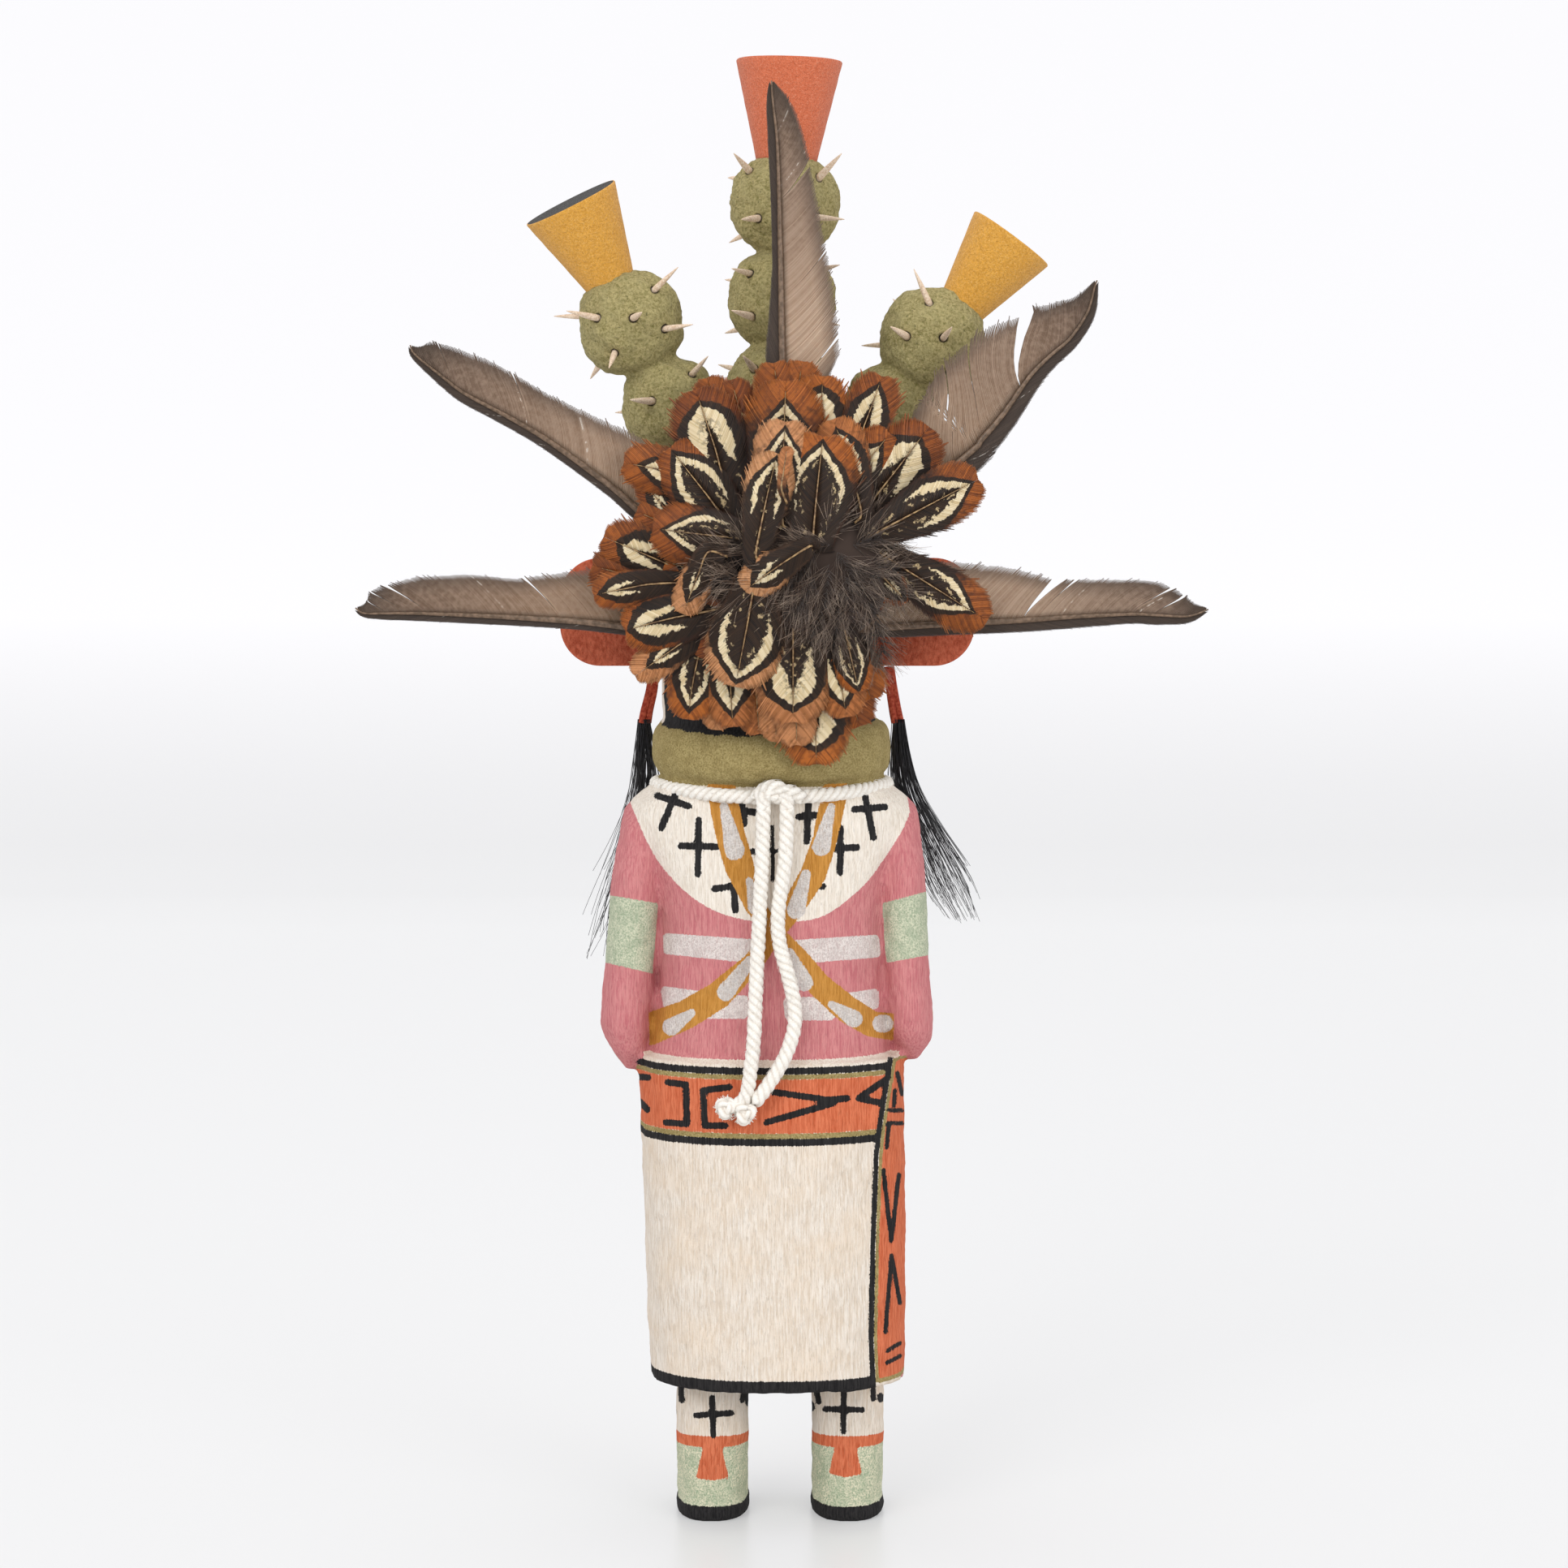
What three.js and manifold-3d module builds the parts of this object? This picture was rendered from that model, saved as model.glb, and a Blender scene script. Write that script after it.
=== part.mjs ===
// A carved and painted dancer doll with a crown of prickly-pear stems, feathers and a neck cord.
// Millimetres, +Z up. The doll faces +Y, and its right hand is on +X.
import * as THREE from "three";
import { mergeVertices } from "three/addons/utils/BufferGeometryUtils.js";
import Module from "manifold-3d";

const wasm = await Module();
wasm.setup();

// Clearance between pieces that touch
const FIT = 0.3;

// Heights of the carved figure above its soles
const SOLE_THICK = 3.5;
const ANKLE_Z = 24;
const HEM_Z = 39.4;
const KILT_TOP_Z = 129.5;
const SHOULDER_Z = 198;
const RUFF_BOTTOM_Z = 206.6;
const RUFF_HEIGHT = 14.6;
const HEAD_TOP_Z = 283.8;

// Half widths and half depths of the carved figure
const LEG_HALF = 10;
const LEG_LEFT_X = -17.4;
const LEG_RIGHT_X = 20.1;
const HEEL_Y = -11;
const BOOT_LENGTH = 35;
const KILT_HALF_WIDTH = 35.6;
const KILT_HALF_DEPTH = 28;
const KILT_STEP = 1.2;
const PANEL_STEP = 0.6;
const PANEL_EDGE_X = 27.4;
const PANEL_FRONT_Y = 9;
const WAIST_HALF_WIDTH = 33.2;
const BODY_HALF_DEPTH = 25.2;
const SHOULDER_HALF_WIDTH = 40.3;
const ARM_HALF_DEPTH = 12;
const RUFF_HALF_WIDTH = 32.8;
const RUFF_HALF_DEPTH = 28.5;
const RUFF_TILT_DEG = 3;
const HEAD_X = -2.1;
const HEAD_HALF_WIDTH = 28.95;
const HEAD_HALF_DEPTH = 27;

// Ear boards
const EAR_REACH = 27.7;
const EAR_HEIGHT = 29.5;
const EAR_THICK = 7;
const EAR_Z = 250.4;
const EAR_CORNER = 11;
const EAR_LET_IN = 4;

// Cactus stems: pads of the three stems, each pad as centre and radii
const PAD_DEPTH_SHARE = 0.86;
const PAD_SQUARENESS = 2.25;
const STEMS = {
  cactus_left: {
    pads: [
      { x: -21, y: 0, up: 6.5, r: 10.9 },
      { x: -28.6, y: -1.5, up: 23, r: 13 },
      { x: -39.1, y: -3, up: 45.1, r: 14.2 },
    ],
  },
  cactus_center: {
    pads: [
      { x: -0.5, y: 0, up: 6.2, r: 9.3 },
      { x: 1.1, y: 0, up: 25.7, r: 14.5 },
      { x: 1.8, y: 0, up: 51.6, r: 14.7, tall: 13.6 },
      { x: 2.7, y: 0, up: 77.5, r: 14.9, tall: 13.6 },
    ],
  },
  cactus_right: {
    pads: [
      { x: 19.8, y: 0, up: 6.5, r: 10.5 },
      { x: 31.8, y: -1, up: 21.2, r: 13 },
      { x: 42.9, y: -2, up: 40.2, r: 14.4 },
    ],
  },
};

// Wooden spines: foot and tip seen from behind, as offsets across and up from the middle of a pad
const SPINE_LENGTH = 11;
const SPINE_RADIUS = 0.95;
const SPINE_SUNK = 2;
const SPINES = {
  cactus_left: [
    { pad: 2, foot: [6.5, 8.3], tip: [13.2, 14.1] },
    { pad: 2, foot: [-9, 0.9], tip: [-16.6, 2.3] },
    { pad: 2, foot: [1.1, 0.7], tip: [3.8, 1.6] },
    { pad: 2, foot: [9.6, -2], tip: [17.2, -1.3] },
    { pad: 2, foot: [-4.1, -8.5], tip: [-5.2, -13] },
    { pad: 1, foot: [-4.9, 0.7], tip: [-10.1, 0.7] },
    { pad: 1, foot: [6.2, 8], tip: [10.7, 12.5] },
    { pad: 2, foot: [-12.5, 2.1], tip: [-21.7, 2.5], front: true },
    { pad: 2, foot: [-7.9, -9.5], tip: [-11.9, -14.5], front: true },
    { pad: 2, foot: [2, 4], tip: [3, 6], front: true },
    { pad: 1, foot: [-8.5, -1.2], tip: [-15.7, -1.6], front: true },
    { pad: 1, foot: [1, -1], tip: [2, -2], front: true },
  ],
  cactus_center: [
    { pad: 3, foot: [-9.4, 8.1], tip: [-13.7, 12.1] },
    { pad: 3, foot: [9.2, 6.3], tip: [15.2, 12.1] },
    { pad: 3, foot: [-7.2, -4.7], tip: [-11.6, -5.8] },
    { pad: 3, foot: [8.5, -4.4], tip: [15.9, -5.6] },
    { pad: 2, foot: [-8.5, 6.5], tip: [-13.4, 7.2] },
    { pad: 2, foot: [-8.1, -5.1], tip: [-13.4, -4] },
    { pad: 2, foot: [8.7, 7.1], tip: [15.6, 8.3] },
    { pad: 2, foot: [8.7, -6.4], tip: [15.6, -7.8] },
    { pad: 1, foot: [-6.7, 6.7], tip: [-9.6, 9.8] },
    { pad: 3, foot: [-10.7, 7.2], tip: [-15.7, 8.5], front: true },
    { pad: 3, foot: [-10.2, -7.3], tip: [-15.4, -9.3], front: true },
    { pad: 3, foot: [4, 1], tip: [6, 2], front: true },
    { pad: 2, foot: [-10.5, 5.5], tip: [-15.7, 6.5], front: true },
    { pad: 2, foot: [-10.5, -7.3], tip: [-15.7, -8.3], front: true },
    { pad: 2, foot: [3, 0], tip: [4, 0], front: true },
    { pad: 1, foot: [-11, 7], tip: [-16.8, 8.9], front: true },
  ],
  cactus_right: [
    { pad: 2, foot: [-1.3, 9.8], tip: [-5.6, 18.6] },
    { pad: 2, foot: [-7.6, 0.9], tip: [-12, 2.9] },
    { pad: 2, foot: [2.5, 0.4], tip: [4.3, 2.7] },
    { pad: 2, foot: [4.3, -8.5], tip: [6.5, -9.6] },
    { pad: 2, foot: [-11.5, -0.6], tip: [-19, -0.4], front: true },
    { pad: 2, foot: [-7, 8.7], tip: [-10.3, 12.5], front: true },
    { pad: 2, foot: [3, 1], tip: [5, 2], front: true },
    { pad: 1, foot: [5, 2], tip: [8, 3], front: true },
  ],
};

// Blossoms: the top is given from the middle of the base, across, towards the front and up
const BLOSSOM_DEPTH_SHARE = 0.86;
const BLOSSOM_SUNK = 3;
const BLOSSOMS = {
  blossom_left: { stem: "cactus_left", base: [-5.7, -1, 11.3], top: [-10.4, -4.5, 20.8], foot: 7, mouth: 13.3 },
  blossom_center: { stem: "cactus_center", base: [0.5, 0, 13], top: [0.7, 0, 25.5], foot: 8.6, mouth: 14.4 },
  blossom_right: { stem: "cactus_right", base: [8.5, 0, 10.3], top: [12.9, 0, 17.5], foot: 6.9, mouth: 12.4 },
};

// Wing feathers lie on the back of the head: shaft points across and up, and the vane's width
// on the left and right of the shaft, seen from behind with the tip away from the viewer's feet
const WING_THICK = 0.8;
const WING_GAP_TO_HEAD = 1.4;
const WING_BOW = 4;
const WINGS = {
  feather_left: {
    shaft: [[-111.3, 252.1], [-109.2, 250.7], [-104, 250.6], [-95.9, 250.6], [-82, 250.1], [-69.8, 249.5],
      [-58, 248.8], [-48.4, 248], [-36, 246.4], [-17, 243.2]],
    left: [0.6, 1.2, 1.8, 2.1, 2.3, 2.3, 2.3, 2.3, 2.3, 1],
    right: [0.6, 5.2, 7.4, 9.6, 10.8, 10.2, 12.4, 14.6, 14, 1],
  },
  feather_upper_left: {
    shaft: [[-96.3, 321.5], [-95.2, 319.1], [-89, 314], [-82.6, 309.1], [-74.5, 304.7], [-66.7, 300.4],
      [-58.7, 295.4], [-43, 283.9], [-34.3, 276.3], [-15, 262]],
    left: [0.6, 1.4, 2.2, 2.6, 2.6, 2.6, 2.6, 2.6, 2.6, 1],
    right: [0.6, 5.2, 8.6, 10.8, 10.8, 10.4, 11.4, 15.6, 16, 1],
  },
  feather_top: {
    shaft: [[-0.8, 390.7], [-0.7, 388], [-0.2, 383], [0.7, 374.6], [1.2, 360], [1.4, 350], [1.6, 342.6],
      [1.8, 330], [2, 319.3], [2.6, 288]],
    left: [0.6, 1.4, 2.1, 2.6, 2.3, 2.2, 2.3, 3.4, 4.6, 1],
    right: [0.6, 3.2, 5.6, 7.4, 10, 11.4, 12.8, 14.6, 15.2, 1],
  },
  feather_upper_right: {
    shaft: [[85.1, 338.5], [84.5, 336.7], [82.7, 330.2], [78.2, 323.4], [72.5, 318.4], [67.5, 313.2],
      [60.8, 303.6], [55.1, 296.9], [50.5, 292.1], [20, 268]],
    left: [0.6, 1.6, 7.4, 11.6, 14.4, 18.4, 21, 19.6, 19, 1],
    right: [0.6, 1.2, 2.4, 2.8, 3.2, 3.8, 4.4, 5, 5.4, 1],
    split: [[67.6, 334], [61.4, 334.6], [65.3, 314.6]],
  },
  feather_right: {
    shaft: [[115.1, 251.7], [109.9, 249.9], [102, 250.1], [95.6, 250.4], [84, 249.9], [77.1, 249.5],
      [64.2, 248.6], [47.3, 247.8], [34, 247.1], [12, 245.6]],
    left: [0.6, 5.6, 8.8, 9, 9.6, 9.8, 14, 16.6, 16, 1],
    right: [0.6, 2, 2.7, 2.6, 3, 3.2, 3.2, 3.1, 3, 1],
  },
};

// Pheasant feathers around the bunch's middle: tip and root across and up from it, width, and how far
// the feather stands off the head
const ROSETTE_X = 4.4;
const ROSETTE_Z = 263.9;
const ROSETTE_GAP_TO_HEAD = 3.4;
const PETAL_THICK = 1.1;
const QUILL_HALF = 0.8;
const QUILL_REACH = 11;
const CORE = { across: 6, up: -4, rx: 21, rz: 19, deep: 19 };
const PETALS = [
  { tip: [-4.9, 54.1], root: [-1, 34.5], wide: 9, lift: 2 },
  { tip: [3.1, 53.9], root: [0.4, 34.5], wide: 10, lift: 2 },
  { tip: [8.3, 50.5], root: [6.8, 26], wide: 15, lift: 3 },
  { tip: [24.3, 50.5], root: [15.4, 27.4], wide: 12.5, lift: 3 },
  { tip: [-22.7, 49.6], root: [-16, 31], wide: 10, lift: 1.5 },
  { tip: [-16, 49.1], root: [-10.3, 27.4], wide: 10, lift: 1.5 },
  { tip: [-25.6, 46.6], root: [-17.4, 21.7], wide: 18, lift: 4 },
  { tip: [-1.4, 49.3], root: [-2.8, 18.8], wide: 20, lift: 5 },
  { tip: [10.8, 38.4], root: [18.3, 13.1], wide: 12, lift: 7 },
  { tip: [26.5, 34.9], root: [12.5, 18.8], wide: 12, lift: 5 },
  { tip: [36.8, 36.6], root: [19.7, 14.5], wide: 17.5, lift: 4 },
  { tip: [50.3, 22.7], root: [19.7, 6.7], wide: 14, lift: 8 },
  { tip: [52.1, -15.4], root: [21.1, 3.9], wide: 13, lift: 6 },
  { tip: [30.7, -10.4], root: [21.8, -1.1], wide: 7, lift: 7 },
  { tip: [-45.2, 26.7], root: [-26, 22.4], wide: 10, lift: 3 },
  { tip: [-40, 22.4], root: [-31, 10.3], wide: 7, lift: 2 },
  { tip: [-32.7, 31.3], root: [-19.5, 13.1], wide: 15, lift: 5 },
  { tip: [-37.5, 9.3], root: [-10.3, 6], wide: 14.5, lift: 7 },
  { tip: [-50.6, 7.4], root: [-27.4, -3.3], wide: 14, lift: 3 },
  { tip: [-53.8, -0.4], root: [-32.4, -6.8], wide: 11, lift: 2 },
  { tip: [-52.9, -8.6], root: [-38.8, -5.4], wide: 8, lift: 4 },
  { tip: [-44.1, -6.8], root: [-27.4, -12.5], wide: 8, lift: 3 },
  { tip: [-45.2, -18.3], root: [-21.7, -12.5], wide: 14, lift: 5 },
  { tip: [-28.5, -13.6], root: [-21.7, 3.1], wide: 8.5, lift: 8 },
  { tip: [-42, -30.2], root: [-22.4, -16.1], wide: 8, lift: 4 },
  { tip: [-27.4, -41.8], root: [-23.8, -21.1], wide: 12, lift: 3 },
  { tip: [-19.9, -44.5], root: [-18.8, -29.7], wide: 8, lift: 2 },
  { tip: [-15.3, -43.9], root: [-16, -24.7], wide: 12.5, lift: 4 },
  { tip: [-14.9, -32.9], root: [-9.6, -5.4], wide: 18.5, lift: 10 },
  { tip: [-8.5, -46.1], root: [-9.6, -29.7], wide: 9, lift: 3 },
  { tip: [0.4, -43.4], root: [0.4, -8.3], wide: 18, lift: 8 },
  { tip: [-4.6, -47.5], root: [-1.7, -33.2], wide: 8, lift: 4 },
  { tip: [1.4, -48.9], root: [1.1, -33.2], wide: 9, lift: 5 },
  { tip: [6.8, -54.5], root: [6.8, -32.5], wide: 16, lift: 3 },
  { tip: [14.7, -41.1], root: [9.7, -16.8], wide: 11, lift: 6 },
  { tip: [17.9, -34.1], root: [12.5, -12.5], wide: 8, lift: 8 },
  { tip: [21.5, -36.8], root: [17.5, -24.7], wide: 9, lift: 3 },
  { tip: [18.6, -43.9], root: [14, -29.7], wide: 10, lift: 2 },
  { tip: [-1.4, 38.6], root: [-2.4, 13.1], wide: 14, lift: 9 },
  { tip: [8.6, 35.2], root: [5.4, 6], wide: 18, lift: 10 },
  { tip: [-3.9, 28.4], root: [-8.1, -0.4], wide: 12, lift: 12 },
  { tip: [-13.1, -7.8], root: [4.7, 4.6], wide: 10, lift: 14 },
];

// Cotton cord round the neck, its knot, its two free ends and the knots that end them
const CORD_RADIUS = 2.2;
const NECK_RING = { x: -1, y: 0, rx: 31.6, ry: 25.8, sideZ: 203.4, backZ: 201.2 };
const KNOT = { x: 0.6, y: -28.6, z: 202.4, rx: 4.8, ry: 3.2, rz: 3.6 };
const CORD_ENDS = {
  cord_end_left: [
    [-3, -29.2, 198.8], [-3.2, -29.5, 192], [-3.4, -29.4, 184], [-3.9, -29.1, 174], [-4.4, -28.9, 164],
    [-4.9, -28.9, 154], [-5.5, -29.2, 144], [-6.2, -30.2, 135.5], [-7.2, -31.1, 128.5], [-9, -31.4, 124.6],
    [-11, -31.5, 122.2],
  ],
  cord_end_right: [
    [3.2, -29.2, 198.5], [3.1, -29.5, 192], [2.7, -29.4, 184], [1.4, -29.1, 175], [0.8, -28.9, 168],
    [1.5, -28.9, 161], [3.6, -28.9, 153.5], [5.2, -29.2, 146], [5.2, -29.9, 140], [3.8, -30.8, 134.5],
    [1.5, -31.4, 128.6], [-1.4, -31.5, 123.4], [-4, -31.5, 120.3],
  ],
};
const END_KNOTS = {
  end_knot_left: { x: -13.2, y: -31.5, z: 118.2, rx: 2.2, ry: 2.5, rz: 2.8 },
  end_knot_right: { x: -8.1, y: -31.5, z: 116.9, rx: 2.4, ry: 2.7, rz: 3.5 },
};

// Thongs under the ears: points as the way out from the head's side, forward, and down from the ear
const THONG_HALF = 1.1;
const THONGS = {
  ear_thong_left: [[2.35, 5.6, 0.45], [2.95, 5.9, 6.65], [4.35, 6.2, 12.65], [4.95, 6.4, 16.05]],
  ear_thong_right: [[4.55, 5.6, 0.45], [5.35, 5.9, 6.65], [6.35, 6.2, 12.65], [7.05, 6.4, 16.05]],
};

// Horsehair tassels on the thongs: the first place is out from the head's side and down from the ear,
// the others are out from the shoulder's side and up from the shoulder, each with its half width
const TASSELS = {
  hair_left: [
    { at: [5.05, 6.5, 16.45], half: 1.8 }, { at: [-3.3, 9.5, 12], half: 2.9 },
    { at: [-2, 14, 1], half: 3.4 }, { at: [0.9, 17, -14], half: 3.6 },
    { at: [4.9, 18, -30], half: 3 }, { at: [9.3, 18, -48], half: 1 },
  ],
  hair_right: [
    { at: [7.15, 6.5, 16.45], half: 1.8 }, { at: [-5.7, 9.5, 12], half: 2.9 },
    { at: [-4.3, 14, 3], half: 3.4 }, { at: [-0.1, 17, -8], half: 3.8 },
    { at: [5.7, 18, -22], half: 4.2 }, { at: [12.2, 18, -35], half: 2.4 },
  ],
};

// Flat sides of the round sections
const BODY_SIDES = 24;
const LIMB_SIDES = 12;

const paint = (color, roughness = 0.9) => new THREE.MeshStandardMaterial({ color, roughness, metalness: 0 });
const PAINTS = {
  wood: paint("#d8c6ae"),
  brick: paint("#ab4633"),
  cactus: paint("#87895a"),
  orange: paint("#d4583a"),
  ochre: paint("#cf9427"),
  quill: paint("#7a6655", 0.7),
  pheasant: paint("#7c3f24", 0.7),
  cotton: paint("#e8e2d8"),
  thong: paint("#a5412f", 0.8),
  horsehair: paint("#17161a", 0.5),
};

// Closed meshes and solids

function signedVolume(points, index) {
  const a = new THREE.Vector3();
  const b = new THREE.Vector3();
  let total = 0;
  for (let i = 0; i < index.length; i += 3) {
    a.copy(points[index[i]]);
    b.copy(points[index[i + 1]]);
    total += a.cross(b).dot(points[index[i + 2]]);
  }
  return total;
}

// A closed skin over rings that have the same number of points, with flat ends
function loft(rings) {
  const sides = rings[0].length;
  const points = rings.flat();
  const index = [];
  for (let r = 0; r + 1 < rings.length; r++) {
    for (let i = 0; i < sides; i++) {
      const a = r * sides + i;
      const b = r * sides + ((i + 1) % sides);
      index.push(a, b, b + sides, a, b + sides, a + sides);
    }
  }
  const last = (rings.length - 1) * sides;
  for (let i = 1; i + 1 < sides; i++) {
    index.push(0, i + 1, i, last, last + i, last + i + 1);
  }
  if (signedVolume(points, index) < 0) {
    index.reverse();
  }
  const geometry = new THREE.BufferGeometry().setFromPoints(points);
  geometry.setIndex(index);
  return geometry;
}

function toSolid(geometry) {
  const bare = geometry.clone();
  bare.deleteAttribute("normal");
  bare.deleteAttribute("uv");
  const merged = mergeVertices(bare, 1e-4);
  return new wasm.Manifold(new wasm.Mesh({
    numProp: 3,
    vertProperties: new Float32Array(merged.attributes.position.array),
    triVerts: new Uint32Array(merged.index.array),
  }));
}

function toGeometry(solid) {
  const { vertProperties, triVerts } = solid.getMesh();
  const geometry = new THREE.BufferGeometry();
  geometry.setAttribute("position", new THREE.BufferAttribute(new Float32Array(vertProperties), 3));
  geometry.setIndex(new THREE.BufferAttribute(new Uint32Array(triVerts), 1));
  return geometry;
}

function join(solids) {
  return solids.reduce((whole, next) => whole.add(next));
}

// Points of a rounded section: square 2 is an ellipse, and more is boxier
function section(at, across, along, halfAcross, halfAlong, sides, square = 2) {
  const power = 2 / square;
  const points = [];
  for (let i = 0; i < sides; i++) {
    const turn = ((i + 0.5) / sides) * Math.PI * 2;
    const c = Math.cos(turn);
    const s = Math.sin(turn);
    points.push(at.clone()
      .addScaledVector(across, halfAcross * Math.sign(c) * Math.abs(c) ** power)
      .addScaledVector(along, halfAlong * Math.sign(s) * Math.abs(s) ** power));
  }
  return points;
}

const AXIS_X = new THREE.Vector3(1, 0, 0);
const AXIS_Y = new THREE.Vector3(0, 1, 0);
const AXIS_Z = new THREE.Vector3(0, 0, 1);

// A solid through level sections, each {x, y, z, rx, ry}
function column(levels, sides, square = 2) {
  return toSolid(loft(levels.map((level) => section(
    new THREE.Vector3(level.x ?? 0, level.y ?? 0, level.z),
    AXIS_X, AXIS_Y, level.rx, level.ry, sides, level.square ?? square,
  ))));
}

// A solid along a line of points, with an oval section at each. Its first half width is square to the
// line and to the helper axis, which the line never follows
function limb(points, halfAcross, halfAlong, sides, helper = AXIS_Y) {
  const places = points.map((p) => new THREE.Vector3(...p));
  const rings = places.map((place, i) => {
    const before = places[Math.max(i - 1, 0)];
    const after = places[Math.min(i + 1, places.length - 1)];
    const ahead = after.clone().sub(before).normalize();
    const across = helper.clone().cross(ahead).normalize();
    const along = ahead.clone().cross(across).normalize();
    return section(place, across, along, halfAcross[i], halfAlong[i], sides);
  });
  return toSolid(loft(rings));
}

function oval({ x, y, z, rx, ry, rz }, sides = 12, levels = 6, square = 2, grow = 0) {
  const rings = [];
  for (let k = 0; k < levels; k++) {
    const tilt = ((k + 0.5) / levels - 0.5) * Math.PI;
    const round = Math.cos(tilt) ** (2 / square);
    const rise = Math.sign(tilt) * Math.abs(Math.sin(tilt)) ** (2 / square);
    const topLevel = Math.abs(Math.sin(((levels - 0.5) / levels - 0.5) * Math.PI)) ** (2 / square);
    rings.push({
      x, y, z: z + (rz + grow) * (rise / topLevel),
      rx: (rx + grow) * round, ry: (ry + grow) * round,
    });
  }
  return column(rings, sides);
}

function block(x0, x1, y0, y1, z0, z1) {
  const box = new THREE.BoxGeometry(x1 - x0, y1 - y0, z1 - z0);
  box.translate((x0 + x1) / 2, (y0 + y1) / 2, (z0 + z1) / 2);
  return toSolid(box);
}

// The carved figure

function leg(x) {
  const middle = HEEL_Y + BOOT_LENGTH / 2;
  const calf = HEEL_Y + LEG_HALF;
  const half = BOOT_LENGTH / 2;
  return column([
    { x, y: middle, z: 0, rx: LEG_HALF + 0.2, ry: half },
    { x, y: middle, z: SOLE_THICK, rx: LEG_HALF + 0.2, ry: half },
    { x, y: middle, z: SOLE_THICK + 0.4, rx: LEG_HALF - 0.4, ry: half - 0.6 },
    { x, y: middle - 0.6, z: 10, rx: LEG_HALF - 0.2, ry: half - 1.2 },
    { x, y: middle - 2.8, z: 14.5, rx: LEG_HALF - 0.2, ry: half - 3.4 },
    { x, y: calf + 2.6, z: 19, rx: LEG_HALF - 0.1, ry: LEG_HALF + 2.4 },
    { x, y: calf, z: ANKLE_Z, rx: LEG_HALF, ry: LEG_HALF - 0.2 },
    { x, y: calf, z: HEM_Z + 5, rx: LEG_HALF - 0.1, ry: LEG_HALF - 0.1 },
  ], LIMB_SIDES, 2.5);
}

function kiltLevels(grow) {
  const wide = KILT_HALF_WIDTH + grow;
  const deep = KILT_HALF_DEPTH + grow;
  const middle = (HEM_Z + KILT_TOP_Z) / 2;
  return [
    { x: 0.4, z: HEM_Z, rx: wide - 0.9, ry: deep - 0.2 },
    { x: 0, z: HEM_Z + 20, rx: wide - 0.3, ry: deep },
    { x: -0.4, z: middle, rx: wide, ry: deep },
    { x: -1, z: KILT_TOP_Z - 22, rx: wide + 0.3, ry: deep },
    { x: -1.5, z: KILT_TOP_Z, rx: wide + 0.5, ry: deep - 0.2 },
  ];
}

function kilt() {
  const cloth = column(kiltLevels(0), BODY_SIDES, 2.35);
  const overlap = column(kiltLevels(PANEL_STEP), BODY_SIDES, 2.35);
  const lean = THREE.MathUtils.degToRad(1.5);
  const reach = 2 * KILT_HALF_WIDTH;
  const box = new THREE.BoxGeometry(reach, PANEL_FRONT_Y + reach, 2 * KILT_TOP_Z);
  box.translate(reach / 2, (PANEL_FRONT_Y - reach) / 2, 0);
  box.rotateY(lean);
  box.translate(PANEL_EDGE_X, 0, (HEM_Z + KILT_TOP_Z) / 2);
  return cloth.add(overlap.intersect(toSolid(box)));
}

function trunk() {
  const neckDepth = BODY_HALF_DEPTH - 1.8;
  return column([
    { x: -1.5, z: KILT_TOP_Z - 6, rx: WAIST_HALF_WIDTH, ry: KILT_HALF_DEPTH - KILT_STEP - 1 },
    { x: -1.5, z: KILT_TOP_Z + 1, rx: WAIST_HALF_WIDTH, ry: KILT_HALF_DEPTH - KILT_STEP - 1 },
    { x: -0.9, z: 149, rx: WAIST_HALF_WIDTH - 2, ry: BODY_HALF_DEPTH },
    { x: -0.9, z: 166, rx: WAIST_HALF_WIDTH - 2.4, ry: BODY_HALF_DEPTH + 0.4 },
    { x: -1, z: 176, rx: WAIST_HALF_WIDTH - 0.4, ry: BODY_HALF_DEPTH },
    { x: -1.1, z: 187, rx: SHOULDER_HALF_WIDTH - 3, ry: BODY_HALF_DEPTH - 0.6 },
    { x: -1.2, z: SHOULDER_Z - 4, rx: SHOULDER_HALF_WIDTH - 0.2, ry: BODY_HALF_DEPTH - 1.6 },
    { x: -1.2, z: SHOULDER_Z, rx: SHOULDER_HALF_WIDTH - 0.6, ry: neckDepth },
    { x: -1.1, z: SHOULDER_Z + 3.5, rx: SHOULDER_HALF_WIDTH - 5, ry: neckDepth },
    { x: -1, z: RUFF_BOTTOM_Z - 1, rx: RUFF_HALF_WIDTH - 3, ry: neckDepth },
    { x: -1, z: RUFF_BOTTOM_Z + 6, rx: RUFF_HALF_WIDTH - 4, ry: neckDepth },
  ], BODY_SIDES, 2.2);
}

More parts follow.
